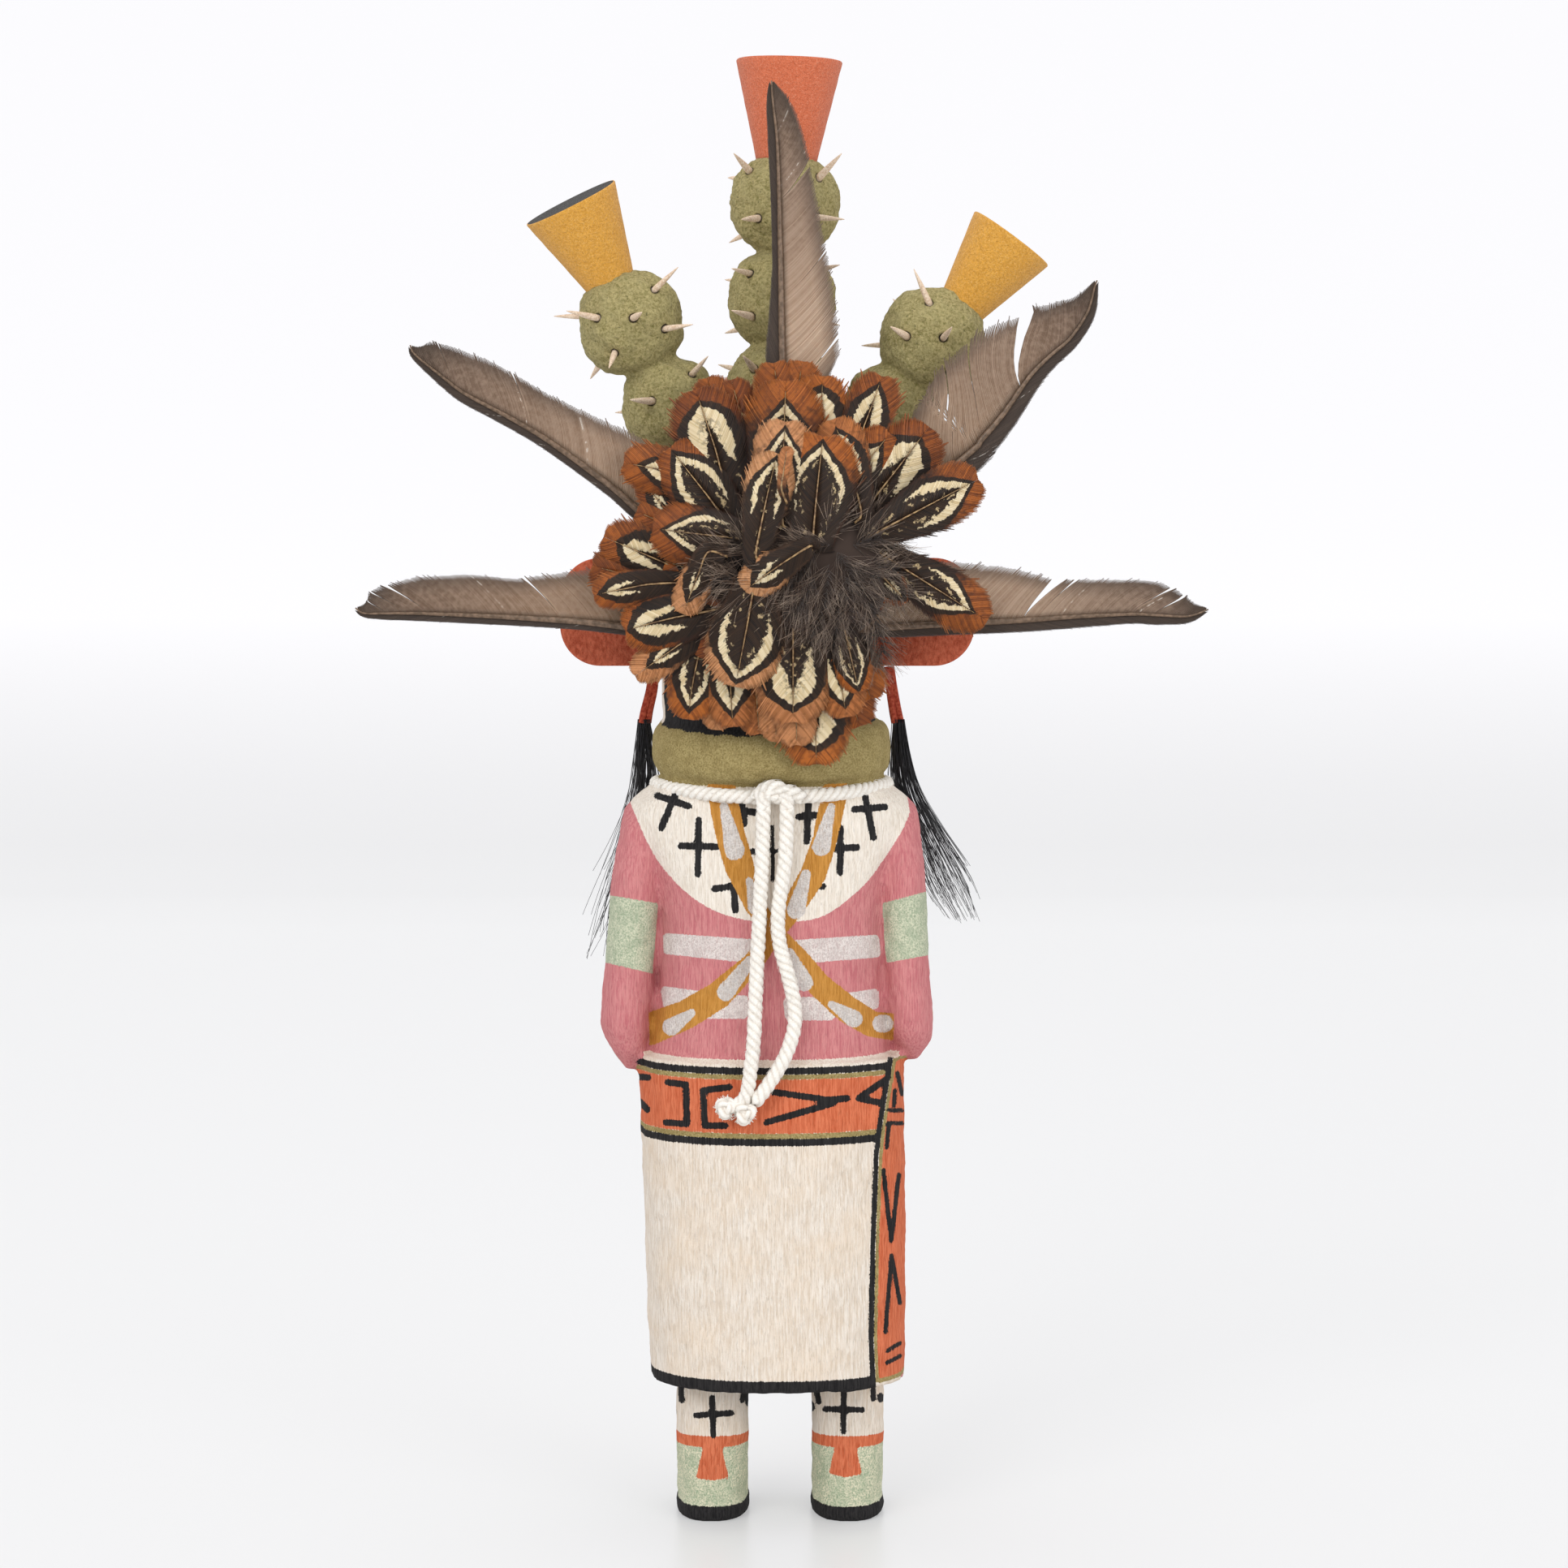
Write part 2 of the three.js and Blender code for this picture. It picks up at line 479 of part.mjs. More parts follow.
function arm(side) {
  const left = side < 0;
  const top = SHOULDER_HALF_WIDTH;
  const low = WAIST_HALF_WIDTH;
  const levels = left ? [
    { x: 5.4 - top, z: SHOULDER_Z - 0.6, rx: 6, ry: 7 },
    { x: 4.6 - top, z: SHOULDER_Z - 6, rx: 6.6, ry: 10.4 },
    { x: 2.6 - top, z: SHOULDER_Z - 20, rx: 7, ry: ARM_HALF_DEPTH },
    { x: -6.9 - low, z: SHOULDER_Z - 49, rx: 7, ry: ARM_HALF_DEPTH },
    { x: -7.9 - low, z: SHOULDER_Z - 61, rx: 7, ry: ARM_HALF_DEPTH - 0.5 },
    { x: -7 - low, z: SHOULDER_Z - 67.5, rx: 5, ry: ARM_HALF_DEPTH - 3 },
    { x: -6.4 - low, z: SHOULDER_Z - 73, rx: 1.6, ry: ARM_HALF_DEPTH - 7 },
  ] : [
    { x: top - 7.6, z: SHOULDER_Z - 0.9, rx: 6, ry: 7 },
    { x: top - 6.9, z: SHOULDER_Z - 6, rx: 6.3, ry: 10.4 },
    { x: top - 5.7, z: SHOULDER_Z - 20, rx: 6.6, ry: ARM_HALF_DEPTH },
    { x: low + 2.8, z: SHOULDER_Z - 49, rx: 6.5, ry: ARM_HALF_DEPTH },
    { x: low + 4, z: SHOULDER_Z - 61, rx: 6.6, ry: ARM_HALF_DEPTH - 0.5 },
    { x: low + 4.2, z: SHOULDER_Z - 66, rx: 4.6, ry: ARM_HALF_DEPTH - 3 },
    { x: low + 4.6, z: SHOULDER_Z - 70.4, rx: 1.5, ry: ARM_HALF_DEPTH - 7 },
  ];
  const upper = column(levels.map((level) => ({ ...level, y: -2 })), LIMB_SIDES, 2.4);
  const elbow = left ? -7.4 - low : low + 4;
  const belly = BODY_HALF_DEPTH;
  const lower = limb([
    [elbow, -6, SHOULDER_Z - 63], [elbow, 6, SHOULDER_Z - 62.5], [elbow * 0.93, belly - 8, SHOULDER_Z - 59],
    [elbow * 0.76, belly - 1, SHOULDER_Z - 54], [elbow * 0.5, belly + 2.4, SHOULDER_Z - 49.5],
    [elbow * 0.26, belly + 3, SHOULDER_Z - 47],
  ], [6, 6.2, 5.8, 4.8, 4.4, 2.4], [5.4, 5.8, 5.8, 4.8, 5.4, 4], LIMB_SIDES, AXIS_Z);
  return upper.add(lower);
}

function ruff() {
  const geometry = loft([
    [0, -3.4, -3], [1.8, -0.9, -0.8], [RUFF_HEIGHT * 0.3, -0.1, 0], [RUFF_HEIGHT * 0.6, 0, 0],
    [RUFF_HEIGHT - 2.4, -0.8, -0.6], [RUFF_HEIGHT, -3.2, -2.6],
  ].map(([rise, wider, deeper]) => section(
    new THREE.Vector3(0, 0, rise), AXIS_X, AXIS_Y,
    RUFF_HALF_WIDTH + wider, RUFF_HALF_DEPTH + deeper, BODY_SIDES, 2.1,
  )));
  geometry.rotateX(THREE.MathUtils.degToRad(RUFF_TILT_DEG));
  geometry.translate(-1, 0, RUFF_BOTTOM_Z - 0.4);
  return toSolid(geometry);
}

function head(grow = 0) {
  const wide = HEAD_HALF_WIDTH + grow;
  const deep = HEAD_HALF_DEPTH + grow;
  return column([
    { x: HEAD_X, z: RUFF_BOTTOM_Z + 8, rx: wide - 0.6, ry: deep - 0.6 },
    { x: HEAD_X, z: RUFF_BOTTOM_Z + 26, rx: wide, ry: deep },
    { x: HEAD_X, z: HEAD_TOP_Z - 4 + grow, rx: wide, ry: deep },
    { x: HEAD_X, z: HEAD_TOP_Z - 1 + grow, rx: wide - 1, ry: deep - 1 },
    { x: HEAD_X, z: HEAD_TOP_Z + grow, rx: wide - 3, ry: deep - 3 },
  ], BODY_SIDES, 2.1);
}

// Cotton cord

function neckRing(grow) {
  const rings = [];
  const steps = 18;
  for (let i = 0; i < steps; i++) {
    const turn = (i / steps) * Math.PI * 2;
    const out = new THREE.Vector3(Math.cos(turn), Math.sin(turn), 0);
    const dip = Math.max(0, -Math.sin(turn)) ** 2;
    const at = new THREE.Vector3(
      NECK_RING.x + NECK_RING.rx * out.x,
      NECK_RING.y + NECK_RING.ry * out.y,
      THREE.MathUtils.lerp(NECK_RING.sideZ, NECK_RING.backZ, dip),
    );
    rings.push(section(at, out, AXIS_Z, CORD_RADIUS + grow, CORD_RADIUS + grow, 8));
  }
  const sides = rings[0].length;
  const points = rings.flat();
  const index = [];
  for (let r = 0; r < steps; r++) {
    for (let i = 0; i < sides; i++) {
      const j = (i + 1) % sides;
      const here = r * sides;
      const next = ((r + 1) % steps) * sides;
      index.push(here + i, here + j, next + j, here + i, next + j, next + i);
    }
  }
  if (signedVolume(points, index) < 0) {
    index.reverse();
  }
  const geometry = new THREE.BufferGeometry().setFromPoints(points);
  geometry.setIndex(index);
  return toSolid(geometry);
}

function neckCord() {
  return neckRing(0).add(oval(KNOT, 12, 6));
}

function cordEnd(points) {
  const curve = new THREE.CatmullRomCurve3(points.map((p) => new THREE.Vector3(...p)));
  const places = curve.getSpacedPoints(points.length - 1).map((p) => p.toArray());
  const radii = places.map(() => CORD_RADIUS);
  return limb(places, radii, radii, 8);
}

// Ears, cactus stems and blossoms

function ear(side) {
  const inner = HEAD_HALF_WIDTH - EAR_LET_IN;
  const outer = HEAD_HALF_WIDTH + EAR_REACH;
  const half = EAR_HEIGHT / 2;
  const shape = new THREE.Shape();
  shape.moveTo(inner, -half);
  shape.lineTo(outer - EAR_CORNER, -half);
  shape.quadraticCurveTo(outer, -half, outer, -half + EAR_CORNER);
  shape.lineTo(outer, half - EAR_CORNER);
  shape.quadraticCurveTo(outer, half, outer - EAR_CORNER, half);
  shape.lineTo(inner, half);
  const board = new THREE.ExtrudeGeometry(shape, {
    depth: EAR_THICK - 1.6, bevelThickness: 0.8, bevelSize: 0.8, bevelOffset: -0.8, bevelSegments: 1,
    curveSegments: 5,
  });
  board.translate(0, 0, -(EAR_THICK - 1.6) / 2);
  board.rotateX(Math.PI / 2);
  if (side < 0) {
    board.rotateZ(Math.PI);
  }
  board.translate(HEAD_X, 0, EAR_Z);
  return toSolid(board).subtract(head(FIT));
}

// Places given from the side of the head and the ear's lower edge, or from the shoulder
function besideHead([out, forward, down], name) {
  const side = name.endsWith("left") ? -1 : 1;
  return [HEAD_X + side * (HEAD_HALF_WIDTH + out), forward, EAR_Z - EAR_HEIGHT / 2 - down];
}

function besideShoulder([out, forward, up], name) {
  const side = name.endsWith("left") ? -1 : 1;
  return [side * (SHOULDER_HALF_WIDTH + out), forward, SHOULDER_Z + up];
}

function padOval(pad, grow = 0) {
  const tall = pad.tall ?? pad.r;
  return oval(
    { x: pad.x, y: pad.y, z: HEAD_TOP_Z + pad.up, rx: pad.r, ry: pad.r * PAD_DEPTH_SHARE, rz: tall },
    12, 6, PAD_SQUARENESS, grow,
  );
}

// A spine stands on a pad's surface, on the back unless front is set
function spine(pad, { foot, tip, front }) {
  const shareX = foot[0] / pad.r;
  const shareZ = foot[1] / (pad.tall ?? pad.r);
  const bulge = Math.sqrt(Math.max(0.02, 1 - shareX ** 2 - shareZ ** 2)) * pad.r * PAD_DEPTH_SHARE;
  const way = front ? 1 : -1;
  const from = new THREE.Vector3(pad.x + foot[0], pad.y + way * bulge, HEAD_TOP_Z + pad.up + foot[1]);
  const over = [tip[0] - foot[0], tip[1] - foot[1]];
  const deep = Math.sqrt(Math.max(4, SPINE_LENGTH ** 2 - over[0] ** 2 - over[1] ** 2));
  const ahead = new THREE.Vector3(over[0], way * deep, over[1]).normalize();
  const length = SPINE_LENGTH + SPINE_SUNK;
  const cone = new THREE.ConeGeometry(SPINE_RADIUS, length, 5);
  cone.translate(0, length / 2 - SPINE_SUNK, 0);
  cone.applyQuaternion(new THREE.Quaternion().setFromUnitVectors(AXIS_Y, ahead));
  cone.translate(from.x, from.y, from.z);
  return toSolid(cone);
}

function stem(name) {
  const { pads } = STEMS[name];
  const wide = 2 * (HEAD_HALF_WIDTH + EAR_REACH);
  const belowHeadTop = block(-wide, wide, -wide, wide, 0, HEAD_TOP_Z + FIT);
  const flesh = join(pads.map((pad) => padOval(pad))).subtract(belowHeadTop);
  return join([flesh, ...SPINES[name].map((one) => spine(pads[one.pad], one))]);
}

function blossom(name) {
  const { stem: stemName, base, top, foot, mouth } = BLOSSOMS[name];
  const { pads } = STEMS[stemName];
  const last = pads[pads.length - 1];
  const middle = new THREE.Vector3(last.x, last.y, HEAD_TOP_Z + last.up);
  const low = middle.clone().add(new THREE.Vector3(...base));
  const high = low.clone().add(new THREE.Vector3(...top));
  const ahead = high.clone().sub(low).normalize();
  const across = AXIS_Y.clone().cross(ahead).normalize();
  const along = ahead.clone().cross(across).normalize();
  const sunk = low.clone().addScaledVector(ahead, -BLOSSOM_SUNK);
  const rings = [[sunk, foot - 0.6], [low, foot], [high, mouth]].map(([at, half]) => section(
    at, across, along, half, half * BLOSSOM_DEPTH_SHARE, 20, 2.2,
  ));
  return toSolid(loft(rings)).subtract(padOval(last, FIT));
}

// Wing feathers: a thin lens across the shaft, with the vane's own width on each side

const WING_Y = -HEAD_HALF_DEPTH - WING_GAP_TO_HEAD;

function wing(name) {
  const { shaft, left, right, split } = WINGS[name];
  const end = new THREE.Vector2(...shaft[shaft.length - 1]);
  const reach = new THREE.Vector2(...shaft[0]).distanceTo(end);
  const places = shaft.map(([x, z]) => {
    const out = new THREE.Vector2(x, z).distanceTo(end) / reach;
    const bow = -WING_BOW * Math.max(0, out - 0.5) ** 2 * 4;
    return new THREE.Vector3(x, WING_Y + bow, z);
  });
  const rings = places.map((place, i) => {
    const before = places[Math.max(i - 1, 0)];
    const after = places[Math.min(i + 1, places.length - 1)];
    const outward = before.clone().sub(after).normalize();
    const rightward = new THREE.Vector3(outward.z, 0, -outward.x).normalize();
    const half = new THREE.Vector3(0, WING_THICK / 2, 0);
    return [
      place.clone().addScaledVector(rightward, -left[i]),
      place.clone().sub(half),
      place.clone().addScaledVector(rightward, right[i]),
      place.clone().add(half),
    ];
  });
  const vane = toSolid(loft(rings));
  if (!split) {
    return vane;
  }
  const [first, ...rest] = split;
  const notch = new THREE.Shape([first, ...rest].map(([x, z]) => new THREE.Vector2(x, z)));
  const cut = new THREE.ExtrudeGeometry(notch, { depth: 40, bevelEnabled: false });
  cut.translate(0, 0, -20);
  cut.rotateX(Math.PI / 2);
  cut.translate(0, WING_Y, 0);
  return vane.subtract(toSolid(cut));
}

// Pheasant feathers

const ROSETTE_Y = -HEAD_HALF_DEPTH - ROSETTE_GAP_TO_HEAD;
const PETAL_WIDTHS = [[0, 0.36], [0.4, 0.92], [0.8, 0.92], [1, 0.34]];

function petal({ tip, root, wide, lift }) {
  const middle = new THREE.Vector2(CORE.across, CORE.up);
  const rootAt = new THREE.Vector2(...root);
  const inward = rootAt.clone().sub(middle);
  const quillAt = middle.clone().addScaledVector(
    inward.clone().normalize(), Math.min(QUILL_REACH, inward.length() * 0.7),
  );
  const rootLift = 1.7 * lift + 1;
  const tipLift = 1.25 * lift;
  const place = (across, up, off) => new THREE.Vector3(ROSETTE_X + across, ROSETTE_Y - off, ROSETTE_Z + up);
  const tipAt = new THREE.Vector2(...tip);
  const outward = tipAt.clone().sub(rootAt).normalize();
  const rightward = new THREE.Vector3(outward.y, 0, -outward.x);
  const half = new THREE.Vector3(0, PETAL_THICK / 2, 0);
  const lens = (at, halfWide) => [
    at.clone().addScaledVector(rightward, -halfWide).add(half),
    at.clone().sub(half),
    at.clone().addScaledVector(rightward, halfWide).add(half),
  ];
  const quillLift = THREE.MathUtils.clamp(rootLift, CORE.deep * 0.2, CORE.deep * 0.75);
  const rings = [lens(place(quillAt.x, quillAt.y, quillLift), QUILL_HALF)];
  for (const [share, width] of PETAL_WIDTHS) {
    const at = rootAt.clone().lerp(tipAt, share);
    const off = THREE.MathUtils.lerp(rootLift, tipLift, share ** 1.5);
    rings.push(lens(place(at.x, at.y, off), (wide / 2) * width));
  }
  return toSolid(loft(rings));
}

function rosette() {
  const core = oval({
    x: ROSETTE_X + CORE.across, y: ROSETTE_Y - CORE.deep / 2, z: ROSETTE_Z + CORE.up,
    rx: CORE.rx, ry: CORE.deep / 2, rz: CORE.rz,
  }, 12, 7);
  return join([core, ...PETALS.map((one) => petal(one))]);
}

// Assembly

const doll = new THREE.Group();

function add(name, solid, material) {
  const mesh = new THREE.Mesh(toGeometry(solid), material);
  mesh.name = name;
  doll.add(mesh);
}

const carving = join([leg(LEG_LEFT_X), leg(LEG_RIGHT_X), kilt(), trunk(), arm(-1), arm(1), ruff(), head()]);
const knotRoom = oval(KNOT, 12, 6, 2, FIT);
add("figure", carving.subtract(neckRing(FIT)).subtract(knotRoom), PAINTS.wood);
add("ear_left", ear(-1), PAINTS.brick);
add("ear_right", ear(1), PAINTS.brick);
for (const name of Object.keys(STEMS)) {
  add(name, stem(name), PAINTS.cactus);
}
for (const name of Object.keys(BLOSSOMS)) {
  add(name, blossom(name), name === "blossom_center" ? PAINTS.orange : PAINTS.ochre);
}
for (const name of Object.keys(WINGS)) {
  add(name, wing(name), PAINTS.quill);
}
add("feather_rosette", rosette(), PAINTS.pheasant);
add("neck_cord", neckCord(), PAINTS.cotton);
for (const [name, points] of Object.entries(CORD_ENDS)) {
  const knotName = name.replace("cord_end", "end_knot");
  const knot = oval(END_KNOTS[knotName], 8, 5, 2, FIT);
  add(name, cordEnd(points).subtract(knot).subtract(knotRoom), PAINTS.cotton);
  add(knotName, oval(END_KNOTS[knotName], 8, 5), PAINTS.cotton);
}
for (const [name, points] of Object.entries(THONGS)) {
  const radii = points.map(() => THONG_HALF);
  const places = points.map((point) => besideHead(point, name));
  add(name, limb(places, radii, radii.map((r) => r * 0.7), 6), PAINTS.thong);
}
for (const [name, [first, ...rest]] of Object.entries(TASSELS)) {
  const places = [besideHead(first.at, name), ...rest.map(({ at }) => besideShoulder(at, name))];
  const halves = [first, ...rest].map((place) => place.half);
  add(name, limb(places, halves, halves.map((r) => r * 0.8), 8), PAINTS.horsehair);
}

// The origin is on the ground, under the middle of everything but the cord's free ends
const box = new THREE.Box3();
for (const mesh of doll.children) {
  if (!mesh.name.startsWith("cord_end") && !mesh.name.startsWith("end_knot")) {
    box.expandByObject(mesh);
  }
}
const middle = box.getCenter(new THREE.Vector3());
doll.position.set(-middle.x, -middle.y, -box.min.z);

export default doll;
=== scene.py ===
# A carved and painted dancer doll with a crown of prickly-pear stems, feathers and a neck cord.
# The drawing is in millimetres, +Z up. The doll faces +Y, and its right hand is on +X.
import math

import bmesh
import bpy
import numpy as np
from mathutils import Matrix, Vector


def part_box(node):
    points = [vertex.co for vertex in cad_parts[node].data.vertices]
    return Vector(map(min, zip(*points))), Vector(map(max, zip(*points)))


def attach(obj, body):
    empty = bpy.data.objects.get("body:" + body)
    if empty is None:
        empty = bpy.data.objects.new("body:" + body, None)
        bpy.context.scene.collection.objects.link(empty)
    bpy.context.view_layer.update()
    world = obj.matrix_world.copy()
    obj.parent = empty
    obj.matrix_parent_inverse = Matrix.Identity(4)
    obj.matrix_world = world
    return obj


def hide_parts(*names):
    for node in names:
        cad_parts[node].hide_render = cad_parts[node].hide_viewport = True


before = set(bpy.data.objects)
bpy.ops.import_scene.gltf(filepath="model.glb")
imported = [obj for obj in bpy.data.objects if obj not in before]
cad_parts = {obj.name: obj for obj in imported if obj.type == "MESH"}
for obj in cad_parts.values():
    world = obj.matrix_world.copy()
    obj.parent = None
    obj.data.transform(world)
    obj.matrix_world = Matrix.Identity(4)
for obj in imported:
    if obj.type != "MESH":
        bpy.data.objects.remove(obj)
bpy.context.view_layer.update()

MM = 0.001
HEAD_X = -2.1
HEAD_TOP_Z = 283.8

# The drawing's place in the frame, from the two ear boards, which are the head's two sides
left_low, left_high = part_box("ear_left")
right_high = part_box("ear_right")[1]
SHIFT = np.array([
    (left_low[0] + right_high[0]) / 2 - HEAD_X * MM,
    (left_low[1] + left_high[1]) / 2,
    0.0,
])

# The photograph's pixels on the upright plane through the doll's axis
PIXEL_MM = 0.2236
PIXEL_MIDDLE_X = 955
PIXEL_GROUND_Y = 1869
EYE = (2.46, -1050.0, 272.0)
AIM_Z = 203.1
LENS = 87.9

RNG_SEED = 11


def to_frame(points):
    return np.asarray(points, float) * MM + SHIFT


def to_pixels(points):
    """Where the camera sees points of the drawing, in the photograph's pixels."""
    scale = -EYE[1] / (points[:, 1] - EYE[1])
    across = EYE[0] + (points[:, 0] - EYE[0]) * scale
    up = EYE[2] + (points[:, 2] - EYE[2]) * scale
    return PIXEL_MIDDLE_X + across / PIXEL_MM, PIXEL_GROUND_Y - up / PIXEL_MM


# Camera, floor and light

FLOOR_GLOW = (0.35, 0.35, 0.35, 1)
BACKDROP_GLOW = (0.79, 0.785, 0.805, 1)
FLOOR_BASE = (0.41, 0.407, 0.405, 1)
BACKDROP_BASE = (0.2, 0.198, 0.195, 1)
SKY_LIGHT = 0.84
KEY_WATTS = 10.2
FILL_WATTS = 5.2
TOP_WATTS = 3.8


def aim(obj, place, target):
    obj.location = Vector(to_frame(place))
    way = Vector(to_frame(target)) - obj.location
    obj.rotation_euler = way.to_track_quat("-Z", "Y").to_euler()
    bpy.context.scene.collection.objects.link(obj)


def camera():
    data = bpy.data.cameras.new("camera")
    data.lens = LENS
    data.sensor_width = 36
    data.clip_start = 0.05
    data.clip_end = 20
    obj = bpy.data.objects.new("camera", data)
    aim(obj, EYE, (EYE[0], 0, AIM_Z))
    bpy.context.scene.camera = obj


def area_light(name, place, size, power):
    data = bpy.data.lights.new(name, "AREA")
    data.size = size
    data.energy = power
    obj = bpy.data.objects.new(name, data)
    obj.visible_camera = False
    aim(obj, place, (0, 0, 200))


def sweep():
    """A pale floor, measured in metres, that curves up into a backdrop."""
    steps = 12
    wide, front, back, bend, tall = 8.0, -8.0, 1.6, 1.0, 3.0
    profile = [(front, 0.0), (back, 0.0)]
    for k in range(1, steps + 1):
        turn = k / steps * math.pi / 2
        profile.append((back + bend * math.sin(turn), bend - bend * math.cos(turn)))
    profile.append((back + bend, tall))
    points = [(side * wide, y, z) for y, z in profile for side in (-1, 1)]
    faces = [(2 * i, 2 * i + 1, 2 * i + 3, 2 * i + 2) for i in range(len(profile) - 1)]
    mesh = bpy.data.meshes.new("floor")
    mesh.from_pydata(points, [], faces)
    mesh.shade_smooth()
    obj = bpy.data.objects.new("floor", mesh)
    bpy.context.scene.collection.objects.link(obj)
    material = bpy.data.materials.new("floor")
    material.use_nodes = True
    shader = material.node_tree.nodes["Principled BSDF"]
    shader.inputs["Roughness"].default_value = 0.3
    shader.inputs["Specular IOR Level"].default_value = 0.2
    shader.inputs["Emission Strength"].default_value = 1.0
    tree = material.node_tree
    place = tree.nodes.new("ShaderNodeTexCoord")
    split = tree.nodes.new("ShaderNodeSeparateXYZ")
    rise = tree.nodes.new("ShaderNodeMapRange")
    rise.inputs["From Max"].default_value = 0.2
    tree.links.new(place.outputs["Object"], split.inputs[0])
    tree.links.new(split.outputs["Z"], rise.inputs["Value"])
    for socket, low, high in (("Emission Color", FLOOR_GLOW, BACKDROP_GLOW),
                              ("Base Color", FLOOR_BASE, BACKDROP_BASE)):
        blend = tree.nodes.new("ShaderNodeMix")
        blend.data_type = "RGBA"
        blend.inputs[6].default_value = low
        blend.inputs[7].default_value = high
        tree.links.new(rise.outputs[0], blend.inputs[0])
        tree.links.new(blend.outputs[2], shader.inputs[socket])
    mesh.materials.append(material)


def studio():
    world = bpy.data.worlds.new("studio")
    world.use_nodes = True
    sky = world.node_tree.nodes["Background"]
    sky.inputs["Color"].default_value = (0.95, 0.97, 1.0, 1)
    sky.inputs["Strength"].default_value = SKY_LIGHT
    bpy.context.scene.world = world
    bpy.context.scene.view_settings.view_transform = "Standard"
    area_light("key", (-700, -1300, 1100), 0.9, KEY_WATTS)
    area_light("fill", (900, -1100, 520), 0.8, FILL_WATTS)
    area_light("top", (0, 100, 1500), 1.0, TOP_WATTS)


# Shaders

def rgb(code):
    """A hex colour as the linear values that a shader takes."""
    parts = [int(code[i:i + 2], 16) / 255 for i in (1, 3, 5)]
    linear = [c / 12.92 if c <= 0.04045 else ((c + 0.055) / 1.055) ** 2.4 for c in parts]
    return (*linear, 1.0)


class Shader:
    """A material, with short calls for the nodes that the doll's finishes are made of."""

    def __init__(self, name, roughness=0.85, specular=0.25, sheen=0.0):
        self.material = bpy.data.materials.new(name)
        self.material.use_nodes = True
        self.tree = self.material.node_tree
        self.surface = self.tree.nodes["Principled BSDF"]
        self.surface.inputs["Roughness"].default_value = roughness
        self.surface.inputs["Specular IOR Level"].default_value = specular
        self.surface.inputs["Sheen Weight"].default_value = sheen

    def node(self, kind, **settings):
        made = self.tree.nodes.new(kind)
        for key, value in settings.items():
            setattr(made, key, value)
        return made

    def feed(self, socket, value):
        if isinstance(value, bpy.types.NodeSocket):
            self.tree.links.new(value, socket)
        else:
            socket.default_value = value

    def math(self, operation, *values, clamp=False):
        made = self.node("ShaderNodeMath", operation=operation, use_clamp=clamp)
        for socket, value in zip(made.inputs, values):
            self.feed(socket, value)
        return made.outputs[0]

    def mix(self, share, first, second, blend="MIX"):
        made = self.node("ShaderNodeMix", data_type="RGBA", blend_type=blend)
        self.feed(made.inputs[0], share)
        self.feed(made.inputs[6], first)
        self.feed(made.inputs[7], second)
        return made.outputs[2]

    def noise(self, per_mm, detail=2.0, stretch=(1, 1, 1), rough=0.5):
        place = self.node("ShaderNodeTexCoord").outputs["Object"]
        mapping = self.node("ShaderNodeMapping")
        mapping.inputs["Scale"].default_value = [per_mm / MM * s for s in stretch]
        self.feed(mapping.inputs["Vector"], place)
        made = self.node("ShaderNodeTexNoise")
        made.inputs["Scale"].default_value = 1.0
        made.inputs["Detail"].default_value = detail
        made.inputs["Roughness"].default_value = rough
        self.feed(made.inputs["Vector"], mapping.outputs[0])
        return made.outputs["Fac"]

    def value(self, name):
        return self.node("ShaderNodeAttribute", attribute_name=name).outputs["Fac"]

    def ramp(self, value, low, high, to_low=0.0, to_high=1.0):
        made = self.node("ShaderNodeMapRange")
        for socket, number in zip(made.inputs, (value, low, high, to_low, to_high)):
            self.feed(socket, number)
        return made.outputs[0]

    def tint(self, value, low, high, dark, light):
        """From one hex colour to another, as a value rises from low to high."""
        return self.mix(self.ramp(value, low, high), rgb(dark), rgb(light))

    def over(self, base, code, value, low, high, to_low=0.0, to_high=1.0):
        """A hex colour over a base, with its share set by a ramp of the value."""
        return self.mix(self.ramp(value, low, high, to_low, to_high), base, rgb(code))

    def colour(self, value):
        self.feed(self.surface.inputs["Base Color"], value)

    def bump(self, height, depth_mm, strength=1.0):
        made = self.node("ShaderNodeBump")
        made.inputs["Strength"].default_value = strength
        made.inputs["Distance"].default_value = depth_mm * MM
        self.feed(made.inputs["Height"], height)
        self.feed(self.surface.inputs["Normal"], made.outputs[0])


def grained(name, finish, grain, dark, light, bump_mm=0.0):
    """A plain material: roughness and specular, a noise's size and detail, and its two colours."""
    shader = Shader(name, *finish)
    noise = shader.noise(*grain)
    shader.colour(shader.tint(noise, 0.35, 0.65, dark, light))
    if bump_mm:
        shader.bump(noise, bump_mm)
    return shader.material


# Meshes

